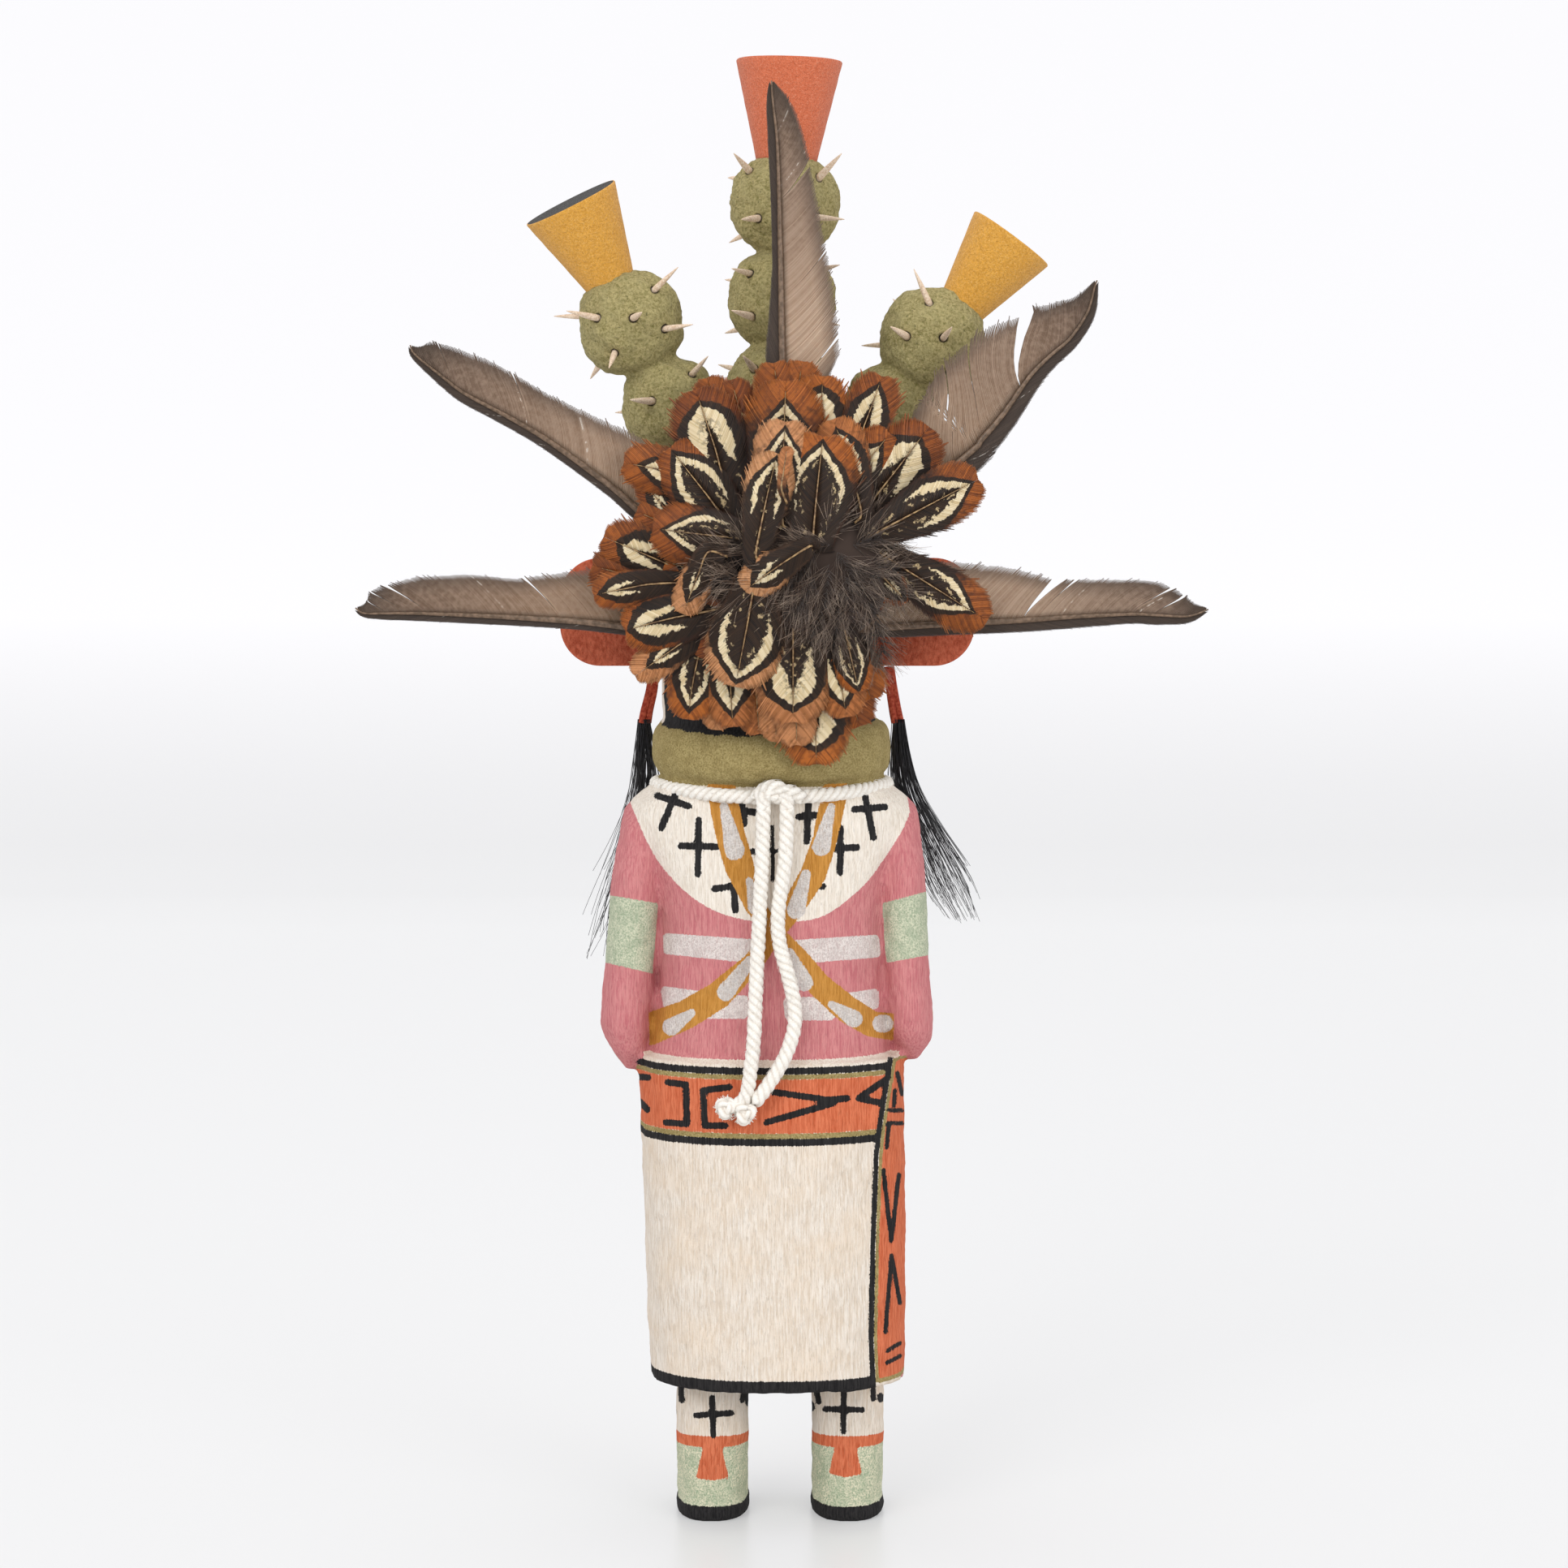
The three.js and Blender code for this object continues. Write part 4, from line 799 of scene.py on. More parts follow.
# Each paint's darker and lighter tone, from the lowest layer to the top one
PAINTS = [
    ("pink", "#BD6D72", "#D18A89"), ("cream", "#DDD0C0", "#F0E7DB"), ("sage", "#93A287", "#D3D3B9"),
    ("olive", "#827145", "#AD9C6A"), ("boots", "#8FA184", "#E3DCC0"), ("orange", "#BC5A39", "#D97A56"),
    ("stripes", "#C2B5B0", "#E8DED8"), ("black", "#1C1B1C", "#302E2E"), ("ochre", "#AF7630", "#C98F45"),
    ("ovals", "#B9B1AC", "#DFD8D2"),
]
MOTTLED = ("sage", "boots", "olive", "stripes", "ovals")


def to_segment(x, y, a, b):
    """Distance to a stretch of line, and how far along it the nearest point is."""
    ax, ay, bx, by = a[0], a[1], b[0], b[1]
    length = max((bx - ax) ** 2 + (by - ay) ** 2, 1e-9)
    share = np.clip(((x - ax) * (bx - ax) + (y - ay) * (by - ay)) / length, 0, 1)
    return np.hypot(x - ax - share * (bx - ax), y - ay - share * (by - ay)), share


def stroke_field(x, y, segments, width):
    return np.min([to_segment(x, y, a, b)[0] for a, b in segments], axis=0) - width / 2


def tapered_field(x, y, knots):
    fields = []
    for a, b in zip(knots, knots[1:]):
        away, share = to_segment(x, y, a, b)
        fields.append(away - (a[2] + (b[2] - a[2]) * share))
    return np.min(fields, axis=0)


def polygon_field(x, y, corners):
    inside = np.zeros(len(x), bool)
    away = np.full(len(x), 1e9)
    for a, b in zip(corners, corners[1:] + corners[:1]):
        away = np.minimum(away, to_segment(x, y, a, b)[0])
        crosses = (a[1] > y) != (b[1] > y)
        rise = b[1] - a[1] if b[1] != a[1] else 1e-9
        inside ^= crosses & (x < (b[0] - a[0]) * (y - a[1]) / rise + a[0])
    return np.where(inside, -away, away)


def union(*fields):
    return np.minimum.reduce(fields)


def within(*fields):
    return np.maximum.reduce(fields)


def level(z, edges):
    return within(z - edges[1], edges[0] - z)


def oval_field(x, y, half_x, half_y, square, radius):
    """About how far points lie outside a squared oval."""
    return (np.abs(x / half_x) ** square + np.abs(y / half_y) ** square) ** (1 / square) * radius - radius


def bar(across, z, shape):
    return within(np.abs(across) - shape[2], np.abs(z - shape[0]) - shape[1])


def figure_paint(points):
    """For each paint, how far each point lies outside it, in millimetres."""
    x, y, z = points.T
    px, py = to_pixels(points)

    def drawn(shapes, field=polygon_field):
        return union(*[field(px, py, shape) for shape in shapes]) * PIXEL_MM

    def strokes(segments, key):
        return stroke_field(px, py, segments, STROKE_WIDTHS[key]) * PIXEL_MM

    lines = np.concatenate([forearm_line(side, FOREARM[1:], 24) for side in (-1, 1)])
    off_forearms = np.min([np.linalg.norm(points - p, axis=1) for p in lines], axis=0) - FOREARM_RADIUS
    # A sleeve ends behind the elbow, and further forward above it
    sleeve_end = y - (-5.5 + np.maximum(0, z - 128) * 0.22 + np.maximum(0, z - 146) * 3)
    shirt = np.where((x < ARM_XS[0]) | (x > ARM_XS[1]), sleeve_end, SHIRT_BOTTOM_Z - z)
    rise = (z - RUFF_BOTTOM_Z + 0.4) * math.cos(RUFF_TILT) - y * math.sin(RUFF_TILT)
    from_head = oval_field(x - HEAD_X, y, HEAD_HALF_WIDTH - 0.4, HEAD_HALF_DEPTH - 0.4, HEAD_SQUARE, 28)
    off_ruff = within(rise - 15.6, -0.6 - rise, union(1.1 - from_head, rise - 8))
    off_head = within(213 - z, -off_ruff)
    yoke = drawn([[tuple(p) for p in spline(YOKE_EDGE, 48)] + YOKE_TOP])
    face = within(-y - 4, 219 - z)
    line_x = np.interp(py, [p[1] for p in PANEL_LINE], [p[0] for p in PANEL_LINE])
    line = np.where(y < 4, (line_x - px) * PIXEL_MM, -3.0)
    right = x > FLAP_X
    flap = within(np.where(right, line, 5.0), y - PANEL_FRONT_Y)

    def off_flap(margin):
        return np.where(right, -flap - margin, -5.0)

    on_kilt = within(z - 130.6, HEM_Z - 2 - z, oval_field(x + 1, y, 37.7, 29.3, KILT_SQUARE, 30))
    belt = within(level(z, BELT_INNER), on_kilt, off_flap(0.2))
    panel = within(flap + 1.7, level(z, (HEM_Z + 2.6, 128.2)), on_kilt)
    panel_edge = within(flap + 0.7, level(z, (HEM_Z + 1.4, 129)), on_kilt)
    belt_edges = within(union(*[level(z, edges) for edges in BELT_OLIVES]), on_kilt)
    patch = within(29.4 - x, np.abs(y - 6) - 4, np.abs(z - 12) - 4.5)
    belt_lines = within(union(*[np.abs(z - at) - half for at, half in BELT_BLACKS]), on_kilt, off_flap(0.6))
    flap_line = within(np.abs(flap) - 0.75, np.where(right, -1.0, 1.0), z - 129.4, on_kilt)
    hem = within(z - (HEM_Z + 3.6), on_kilt, off_flap(0.2))
    back_of_head = within(off_head, y + np.where(x < HEAD_X, 6.5, 1.0))
    eyes = within(bar(np.abs(x - HEAD_X) - EYES_APART, z, EYES), FACE_Y - y)
    mouth = within(bar(x - HEAD_X, z, MOUTH), FACE_Y - y)
    brow = within(np.abs(z - BROW[0]) - BROW[1], FACE_Y - y, off_head)
    legs = within(strokes(LEG_STROKES, "legs"), z - HEM_Z + 0.6)
    panel_marks = within(strokes(PANEL_STROKES, "panel"), y - PANEL_FRONT_Y + 2)
    on_shirt = within(130.6 - z, z - SHIRT_TOP_Z, np.abs(x + 1) - 33.5, -off_ruff, -off_forearms)
    return {
        "pink": within(shirt, -off_forearms, z - 207, np.where(z > SHIRT_TOP_Z, 1.0, -5.0)),
        "cream": union(within(yoke, 165 - z), within(off_head, face)),
        "sage": drawn(ARMBANDS),
        "boots": level(z, BOOTS),
        "olive": union(belt_edges, panel_edge, off_ruff - 0.6),
        "orange": union(belt, panel, drawn(PENDANTS), level(z, ANKLES), patch),
        "stripes": within(drawn(STRIPES) - STRIPE_CORNER * PIXEL_MM, np.abs(x + 1) - 32.5),
        "black": union(strokes(YOKE_STROKES, "yoke"), strokes(ROUGH_STROKE, "rough"),
                       strokes(BELT_STROKES, "belt"), legs, panel_marks, belt_lines, flap_line, hem,
                       z - SOLE_TOP_Z, back_of_head, eyes, mouth, brow),
        "ochre": within(drawn(STRAPS, tapered_field), on_shirt),
        "ovals": within(drawn(OVALS, tapered_field), on_shirt),
    }


def figure_material():
    shader = Shader("painted_figure", roughness=0.9, specular=0.15)
    grain = shader.noise(2.3, 4, (1, 1, 0.07), 0.6)
    threads = shader.noise(4.2, 2, (1, 1, 0.1))
    stipple = shader.noise(2.2, 4, rough=0.65)
    blotch = shader.noise(0.07, 3)
    patches = shader.noise(0.3, 3)
    ragged = shader.math("ADD", shader.ramp(grain, 0.3, 0.7, -0.16, 0.16),
                         shader.ramp(stipple, 0.3, 0.7, -0.16, 0.16))
    wood = shader.tint(grain, 0.38, 0.62, "#D6C6B4", "#EBE1D5")
    wood = shader.over(wood, "#E6CDB0", blotch, 0.42, 0.68, 0, 0.3)
    shade = wood
    for name, dark, light in PAINTS:
        speck = stipple if name in MOTTLED else grain
        paint = shader.tint(speck, 0.36, 0.6, dark, light)
        if name in MOTTLED:
            paint = shader.over(paint, dark, patches, 0.46, 0.62, 0, 0.4)
        away = shader.math("ADD", shader.value(name), ragged)
        cover = shader.ramp(away, -0.07, 0.07, 1.0, 0.0)
        if name in ("stripes", "ovals"):
            cover = shader.math("MULTIPLY", cover, shader.ramp(threads, 0.3, 0.48, 0.72, 1.0))
        shade = shader.mix(cover, shade, paint)
    pores = shader.ramp(threads, 0.34, 0.44, 0.74, 1.0)
    shade = shader.mix(0.6, shade, pores, "MULTIPLY")
    shader.colour(shade)
    height = shader.math("ADD", grain, shader.math("MULTIPLY", stipple, 0.6))
    shader.bump(height, 0.28)
    return shader.material


def figure():
    solids = [*[leg(x) for x in LEG_XS], kilt(), kilt_overlap(), trunk(), *arm(-1), *arm(1), ruff(), head()]
    obj = remeshed("figure_carved", solids, BODY_VOXEL, 3)
    points, normals = read_points(obj.data)
    carving = 0.16 * ripple(points, 9, 3) + 0.07 * ripple(points, 3.2, 4)
    moved = points + normals * (carving * np.clip(points[:, 2] - 1, 0, 1))[:, None]
    moved[:, 2] = np.maximum(moved[:, 2], 0)
    write_points(obj.data, moved)
    finish_piece(obj, figure_material(), ["figure"], figure_paint(moved))


# Ear boards

EAR_REACH = 27.7
EAR_HEIGHT = 29.5
EAR_THICK = 7
EAR_Z = 250.4
EAR_CORNER = 11


def ear_outline(inset):
    """A board with two round corners, lengthwise from the head's middle and up from its own middle."""
    inner, outer, half = HEAD_HALF_WIDTH - 3, HEAD_HALF_WIDTH + EAR_REACH - inset, EAR_HEIGHT / 2 - inset
    corner = EAR_CORNER - inset
    turn = np.linspace(0, math.pi / 2, 17)
    top = [(outer - corner + corner * math.cos(t), half - corner + corner * math.sin(t)) for t in turn]
    bottom = [(a, -b) for a, b in reversed(top)]
    far = np.array(bottom + top)
    near = np.array([(inner, half), (inner, -half)])
    return np.concatenate([far, near])


def ears():
    shader = Shader("ear_paint", roughness=0.92, specular=0.12)
    fibre = shader.noise(1.1, 4, (1, 1, 0.5), 0.65)
    stipple = shader.noise(2.4, 4, rough=0.7)
    red = shader.tint(fibre, 0.34, 0.62, "#AE4A31", "#DB7355")
    shader.colour(shader.over(red, "#D4785C", stipple, 0.45, 0.7, 0, 0.55))
    shader.bump(shader.math("ADD", stipple, fibre), 0.4)
    for side, name in ((-1, "ear_left"), (1, "ear_right")):
        rings = []
        for inset, depth in ((1.0, -3.5), (0.3, -3.2), (0, -2.5), (0, 2.5), (0.3, 3.2), (1.0, 3.5)):
            outline = ear_outline(inset)
            rings.append(np.stack([
                HEAD_X + side * outline[:, 0], np.full(len(outline), depth * EAR_THICK / 7),
                EAR_Z + outline[:, 1],
            ], -1))
        add_piece(name + "_board", *loft(rings), shader.material, [name], "ear_paint")


# Cactus stems, spines and blossoms

PAD_DEPTH_SHARE = 0.86
STEMS = {
    "cactus_left": [(-21, 0, 6.5, 10.9, 10.9), (-28.6, -1.5, 23, 13, 13), (-39.1, -3, 45.1, 14.2, 14.2)],
    "cactus_center": [
        (-0.5, 0, 6.2, 9.3, 9.3), (1.1, 0, 25.7, 14.5, 14.5), (1.8, 0, 51.6, 14.7, 13.6),
        (2.7, 0, 77.5, 14.9, 13.6),
    ],
    "cactus_right": [(19.8, 0, 6.5, 10.5, 10.5), (31.8, -1, 21.2, 13, 13), (42.9, -2, 40.2, 14.4, 14.4)],
}
SPINE_LENGTH = 11
SPINE_RADIUS = 0.95
SPINE_SUNK = 1.6
CACTUS_VOXEL = 0.79
BLOSSOM_SIDES = 72
# Spines on the back: pad, foot and tip, across and up from the pad's middle
SPINES = {
    "cactus_left": [
        (2, 6.5, 8.3, 13.2, 14.1), (2, -9, 0.9, -16.6, 2.3), (2, 1.1, 0.7, 3.8, 1.6),
        (2, 9.6, -2, 17.2, -1.3), (2, -4.1, -8.5, -5.2, -13), (1, -4.9, 0.7, -10.1, 0.7),
        (1, 6.2, 8, 10.7, 12.5),
    ],
    "cactus_center": [
        (3, -9.4, 8.1, -13.7, 12.1), (3, 9.2, 6.3, 15.2, 12.1), (3, -7.2, -4.7, -11.6, -5.8),
        (3, 8.5, -4.4, 15.9, -5.6), (2, -8.5, 6.5, -13.4, 7.2), (2, -8.1, -5.1, -13.4, -4),
        (2, 8.7, 7.1, 15.6, 8.3), (2, 8.7, -6.4, 15.6, -7.8), (1, -6.7, 6.7, -9.6, 9.8),
    ],
    "cactus_right": [
        (2, -1.3, 9.8, -5.6, 18.6), (2, -7.6, 0.9, -12, 2.9), (2, 2.5, 0.4, 4.3, 2.7),
        (2, 4.3, -8.5, 6.5, -9.6),
    ],
}
# Spines on the front, written the same way
FRONT_SPINES = {
    "cactus_left": [
        (2, -12.5, 2.1, -21.7, 2.5), (2, -7.9, -9.5, -11.9, -14.5), (2, 2, 4, 3, 6),
        (1, -8.5, -1.2, -15.7, -1.6), (1, 1, -1, 2, -2),
    ],
    "cactus_center": [
        (3, -10.7, 7.2, -15.7, 8.5), (3, -10.2, -7.3, -15.4, -9.3), (3, 4, 1, 6, 2),
        (2, -10.5, 5.5, -15.7, 6.5), (2, -10.5, -7.3, -15.7, -8.3), (2, 3, 0, 4, 0),
        (1, -11, 7, -16.8, 8.9),
    ],
    "cactus_right": [
        (2, -11.5, -0.6, -19, -0.4), (2, -7, 8.7, -10.3, 12.5), (2, 3, 1, 5, 2), (1, 5, 2, 8, 3),
    ],
}


def pad_solid(x, y, up, r, tall):
    rows, sides = 40, 64
    tilt = (np.arange(rows) + 0.5) / rows * math.pi - math.pi / 2
    power = 2 / 2.25
    rings = []
    for t in tilt:
        round_x, round_y = oval_ring(1, 1, sides)
        level = math.cos(t) ** power
        rise = math.copysign(abs(math.sin(t)) ** power, t)
        rings.append(np.stack([
            x + r * level * round_x, y + r * PAD_DEPTH_SHARE * level * round_y,
            np.full(sides, max(HEAD_TOP_Z + up + tall * rise, HEAD_TOP_Z - 0.6)),
        ], -1))
    return loft(rings)


def spine_line(pad, foot_x, foot_z, tip_x, tip_z, way):
    x, y, up, r, tall = pad
    bulge = math.sqrt(max(0.02, 1 - (foot_x / r) ** 2 - (foot_z / tall) ** 2)) * r * PAD_DEPTH_SHARE
    foot = np.array([x + foot_x, y + way * bulge, HEAD_TOP_Z + up + foot_z])
    over = np.array([tip_x - foot_x, tip_z - foot_z])
    deep = math.sqrt(max(4, SPINE_LENGTH ** 2 - over @ over))
    return foot, unit(np.array([over[0], way * deep, over[1]]))


def cactus_material():
    shader = Shader("cactus_paint", roughness=0.95, specular=0.1, sheen=0.05)
    fibre = shader.noise(1.3, 5, rough=0.7)
    lumps = shader.noise(0.35, 3)
    specks = shader.noise(1.8, 2, rough=0.4)
    green = shader.tint(fibre, 0.36, 0.62, "#7D7644", "#BFB07D")
    green = shader.over(green, "#B3A878", lumps, 0.4, 0.65, 0, 0.4)
    green = shader.over(green, "#3F4230", specks, 0.66, 0.74, 0, 0.7)
    # Painted shade: a near-black ring around each spine's foot, for the shadow in the hole it is set in
    spine_hole_shade = shader.ramp(shader.value("spine_hole_shade"), 1.15, 1.6, 1.0, 0.0)
    shader.colour(shader.mix(spine_hole_shade, green, rgb("#1B1410")))
    shader.bump(shader.math("ADD", fibre, shader.math("MULTIPLY", lumps, 0.8)), 0.75)
    return shader.material


def cacti():
    green = cactus_material()
    tan = grained("spine_wood", (0.6, 0.3), (2.0, 2), "#D3B598", "#F0DCC6")
    for name, pads in STEMS.items():
        obj = remeshed(name + "_carved", [pad_solid(*pad) for pad in pads], CACTUS_VOXEL, 5)
        points, normals = read_points(obj.data)
        lines = [spine_line(pads[s[0]], *s[1:], -1) for s in SPINES[name]]
        lines += [spine_line(pads[s[0]], *s[1:], 1) for s in FRONT_SPINES[name]]
        uneven = 0.3 * ripple(points, 8, 21) + 0.16 * ripple(points, 2.6, 22)
        moved = points + normals * uneven[:, None]
        # The distance to the nearest spine foot dents the stem and sets the painted hole shade
        away = np.min([np.linalg.norm(points - foot, axis=1) for foot, _ in lines], axis=0)
        moved -= normals * (0.9 * np.clip(1.6 - away, 0, 1))[:, None]
        moved[:, 2] = np.maximum(moved[:, 2], HEAD_TOP_Z)
        write_points(obj.data, moved)
        finish_piece(obj, green, [name], {"spine_hole_shade": away})
        share = np.array([0, 0.2, 0.45, 0.7, 0.9, 1.0])
        reach = -SPINE_SUNK + share * (SPINE_LENGTH + SPINE_SUNK)
        paths = np.array([foot + way * reach[:, None] for foot, way in lines])
        source = np.random.default_rng(len(name))
        thick = SPINE_RADIUS * source.uniform(0.88, 1.1, (len(lines), 1))
        radii = thick * np.array([1, 1, 0.86, 0.58, 0.3, 0.1])
        add_piece(name + "_spines", *tubes(paths, radii, 10, (0.1, 0.2, 1)), tan, (), "cactus_paint")


BLOSSOMS = {
    "blossom_left": ("cactus_left", (-5.7, -1, 11.3), (-10.4, -4.5, 20.8), 7, 13.3),
    "blossom_center": ("cactus_center", (0.5, 0, 13), (0.7, 0, 25.5), 8.6, 14.4),
    "blossom_right": ("cactus_right", (8.5, 0, 10.3), (12.9, 0, 17.5), 6.9, 12.4),
}


def blossom_material(name, dark, light, pale):
    shader = Shader(name, roughness=0.95, specular=0.1, sheen=0.2)
    fibre = shader.noise(1.5, 5, rough=0.7)
    stipple = shader.noise(2.8, 3, rough=0.6)
    shade = shader.tint(fibre, 0.34, 0.64, dark, light)
    shade = shader.over(shade, pale, stipple, 0.5, 0.68, 0, 0.6)
    inner = shader.ramp(shader.value("inner"), 0.3, 0.6)
    shader.colour(shader.mix(inner, shade, rgb("#26211C")))
    shader.bump(shader.math("ADD", fibre, shader.math("MULTIPLY", stipple, 0.6)), 0.5)
    return shader.material


def blossoms():
    ochre = blossom_material("blossom_ochre", "#C98D33", "#ECAE4B", "#F6C678")
    orange = blossom_material("blossom_orange", "#C6623F", "#E17A55", "#EC9A7A")
    for name, (stem, base, top, foot, mouth) in BLOSSOMS.items():
        x, y, up, _, _ = STEMS[stem][-1]
        low = np.array([x, y, HEAD_TOP_Z + up]) + base
        high = low + top
        ahead = unit(high - low)
        across = unit(np.cross((0, 1, 0), ahead))
        along = np.cross(ahead, across)
        rings, inner = [], []

        def ring(at, half, black):
            a, b = oval_ring(half, half * PAD_DEPTH_SHARE, BLOSSOM_SIDES, 2.2)
            rings.append(at + across * a[:, None] + along * b[:, None])
            inner.append(black)

        ring(low - ahead * 3, foot - 0.6, 0)
        for k in range(21):
            ring(low + (high - low) * k / 20 * 0.985, foot + (mouth - foot) * k / 20, 0)
        ring(high - ahead * 0.05, mouth - 0.15, 0)
        ring(high, mouth - 0.6, 1)
        for share in (0.9, 0.6, 0.25, 0.05):
            ring(high, mouth * share, 1)
        points, faces = loft(rings)
        blackness = np.concatenate([np.repeat(inner, BLOSSOM_SIDES), [0, 1]])
        lumps = 0.14 * ripple(points, 5, len(name)) * (1 - blackness)
        points = points + (points - low - ahead * ((points - low) @ ahead)[:, None]) * 0.02 * lumps[:, None]
        material, slot = (orange, "orange_paint") if name == "blossom_center" else (ochre, "ochre_paint")
        add_piece(name + "_flared", points, faces, material, [name], slot, {"inner": blackness})


# Feathers: barbs laid out as (along the shaft, across it), then bent onto the shaft's own curve

BARB_RISE = 0.08


def barb_strips(centre, normal, overlap):
    """Strips along barbs, centre (S, R, 3), each as wide as the way to its neighbour."""
    direction = unit(np.gradient(centre, axis=1))
    wide = unit(np.cross(direction, np.broadcast_to(normal, direction.shape)))
    to_next = np.abs(np.sum(np.diff(centre, axis=0) * wide[:-1], axis=-1))
    gap = np.maximum(np.vstack([to_next, to_next[-1:]]), np.vstack([to_next[:1], to_next]))
    gap = np.minimum(gap, 1.7 * np.median(gap, axis=0)[None])
    end = np.interp(np.linspace(0, 1, centre.shape[1]), [0, 0.8, 1], [1, 1, 0.36])
    rise = np.broadcast_to(np.asarray(normal) * BARB_RISE, centre.shape)
    return strips(centre, 0.5 * overlap * gap * end, wide, rise)


def along_table(run, inside, table):
    return np.stack([np.interp(inside, run, table[:, i]) for i in range(3)], -1)


def barbs(shaft, edge, slope, side, normal, rng, rings, camber, fray, gaps=()):
    """One side of a feather: barbs from the shaft (R, 3), root to tip, to even steps (along, across) of
    its edge. slope is how far forward a barb runs for its reach, at the edge's root and at its tip."""
    run = distances(shaft)
    length = run[-1]
    root = edge[:, 0] - edge[:, 1] * np.interp(edge[:, 0] / length, [0, 0.75, 1], slope)
    root = np.clip(np.maximum.accumulate(root), 0.02 * length, length - 0.4)
    stray = rng.uniform(size=len(edge)) > 0.9
    fray = 1 + rng.normal(0, fray, len(edge)) + np.where(stray, rng.uniform(3, 7, len(edge)) * fray, 0)
    share = np.linspace(0, 1, rings)[None]
    along = root[:, None] + (edge[:, 0] - root)[:, None] * share ** 1.15 * fray[:, None]
    lateral = edge[:, 1][:, None] * share ** 0.9 * fray[:, None]
    for place, amount, fade in gaps:
        behind = place * length - root
        push = np.where(behind < 0, np.exp(behind / fade), -0.6 * np.exp(-behind / fade))
        along += (amount * push)[:, None] * share
    ahead = unit(np.gradient(shaft, axis=0))
    sideways = unit(np.cross(ahead, normal)) * side
    inside = np.clip(along, 0, length)
    bow = camber * (lateral / edge[:, 1].max()) ** 2
    centre = (along_table(run, inside, shaft)
              + unit(along_table(run, inside, ahead)) * (along - inside)[..., None]
              + unit(along_table(run, inside, sideways)) * lateral[..., None]
              - np.asarray(normal) * bow[..., None])
    half = np.interp(along, edge[:, 0], edge[:, 1])
    values = {
        "along": along / length, "back": length - along, "beside": lateral,
        "inset": np.maximum(half - lateral, 0), "tone": np.repeat(rng.uniform(0, 1, len(edge)), rings),
    }
    return barb_strips(centre, normal, 1.4), {key: on_strips(numbers) for key, numbers in values.items()}


def even_edge(edge, pitch):
    run = distances(edge)
    even = np.linspace(0, run[-1], max(8, int(run[-1] / pitch)))
    return np.stack([np.interp(even, run, edge[:, i]) for i in range(2)], -1)


def merge_values(many):
    return {key: np.concatenate([one[key] for one in many]) for key in many[0]}


TOWARDS_EYE = np.array([0.0, -1.0, 0.0])
WING_Y = -HEAD_HALF_DEPTH - 1.4
WING_BOW = 4
WING_PITCH = 0.36
SHAFT_POINTS = 120
# How pale each wing feather is, from taupe (0) to sand (1)
WING_PALE = {
    "feather_left": 0.15, "feather_upper_left": 0.4, "feather_top": 0.9, "feather_upper_right": 0.4,
    "feather_right": 0.8,
}
# Shaft points across and up from tip to root, the vane's reach on its left and right, and where the
# barbs have come apart: share along from the root, how far, how quickly it closes again
WINGS = {
    "feather_left": {
        "shaft": [
            (-111.3, 252.1), (-109.2, 250.7), (-104, 250.6), (-95.9, 250.6), (-82, 250.1), (-69.8, 249.5),
            (-58, 248.8), (-48.4, 248), (-36, 246.4), (-17, 243.2),
        ],
        "left": [0.6, 1.2, 1.8, 2.1, 2.3, 2.3, 2.3, 2.3, 2.3, 1],
        "right": [0.6, 5.2, 7.4, 9.6, 10.8, 10.2, 12.4, 14.6, 14, 1],
        "gaps": [(0.80, 1.1, 3), (0.86, 0.7, 2), (0.91, 0.9, 2), (0.42, 0.7, 2)],
    },
    "feather_upper_left": {
        "shaft": [
            (-96.3, 321.5), (-95.2, 319.1), (-89, 314), (-82.6, 309.1), (-74.5, 304.7), (-66.7, 300.4),
            (-58.7, 295.4), (-43, 283.9), (-34.3, 276.3), (-15, 262),
        ],
        "left": [0.6, 1.4, 2.2, 2.6, 2.6, 2.6, 2.6, 2.6, 2.6, 1],
        "right": [0.6, 5.2, 8.6, 10.8, 10.8, 10.4, 11.4, 15.6, 16, 1],
        "gaps": [(0.62, 0.5, 3), (0.85, 0.5, 2)],
    },
    "feather_top": {
        "shaft": [
            (-0.8, 390.7), (-0.7, 388), (-0.2, 383), (0.7, 374.6), (1.2, 360), (1.4, 350), (1.6, 342.6),
            (1.8, 330), (2, 319.3), (2.6, 288),
        ],
        "left": [0.6, 1.4, 2.1, 2.6, 2.3, 2.2, 2.3, 3.4, 4.6, 1],
        "right": [0.6, 3.2, 5.6, 7.4, 10, 11.4, 12.8, 14.6, 15.2, 1],
        "gaps": [(0.70, 1.4, 3), (0.2, 0.8, 4), (0.45, 0.4, 3)],
    },
    "feather_upper_right": {
        "shaft": [
            (85.1, 338.5), (84.5, 336.7), (82.7, 330.2), (78.2, 323.4), (72.5, 318.4), (67.5, 313.2),
            (60.8, 303.6), (55.1, 296.9), (50.5, 292.1), (20, 268),
        ],
        "left": [0.6, 1.6, 7.4, 11.6, 14.4, 18.4, 21, 19.6, 19, 1],
        "right": [0.6, 1.2, 2.4, 2.8, 3.2, 3.8, 4.4, 5, 5.4, 1],
        "gaps": [(0.64, 4.0, 7), (0.47, 0.7, 2), (0.36, 0.9, 2)],
    },
    "feather_right": {
        "shaft": [
            (115.1, 251.7), (109.9, 249.9), (102, 250.1), (95.6, 250.4), (84, 249.9), (77.1, 249.5),
            (64.2, 248.6), (47.3, 247.8), (34, 247.1), (12, 245.6),
        ],
        "left": [0.6, 5.6, 8.8, 9, 9.6, 9.8, 14, 16.6, 16, 1],
        "right": [0.6, 2, 2.7, 2.6, 3, 3.2, 3.2, 3.1, 3, 1],
        "gaps": [(0.52, 2.6, 5), (0.56, 0.8, 2), (0.80, 1.0, 2), (0.86, 1.4, 2)],
    },
}


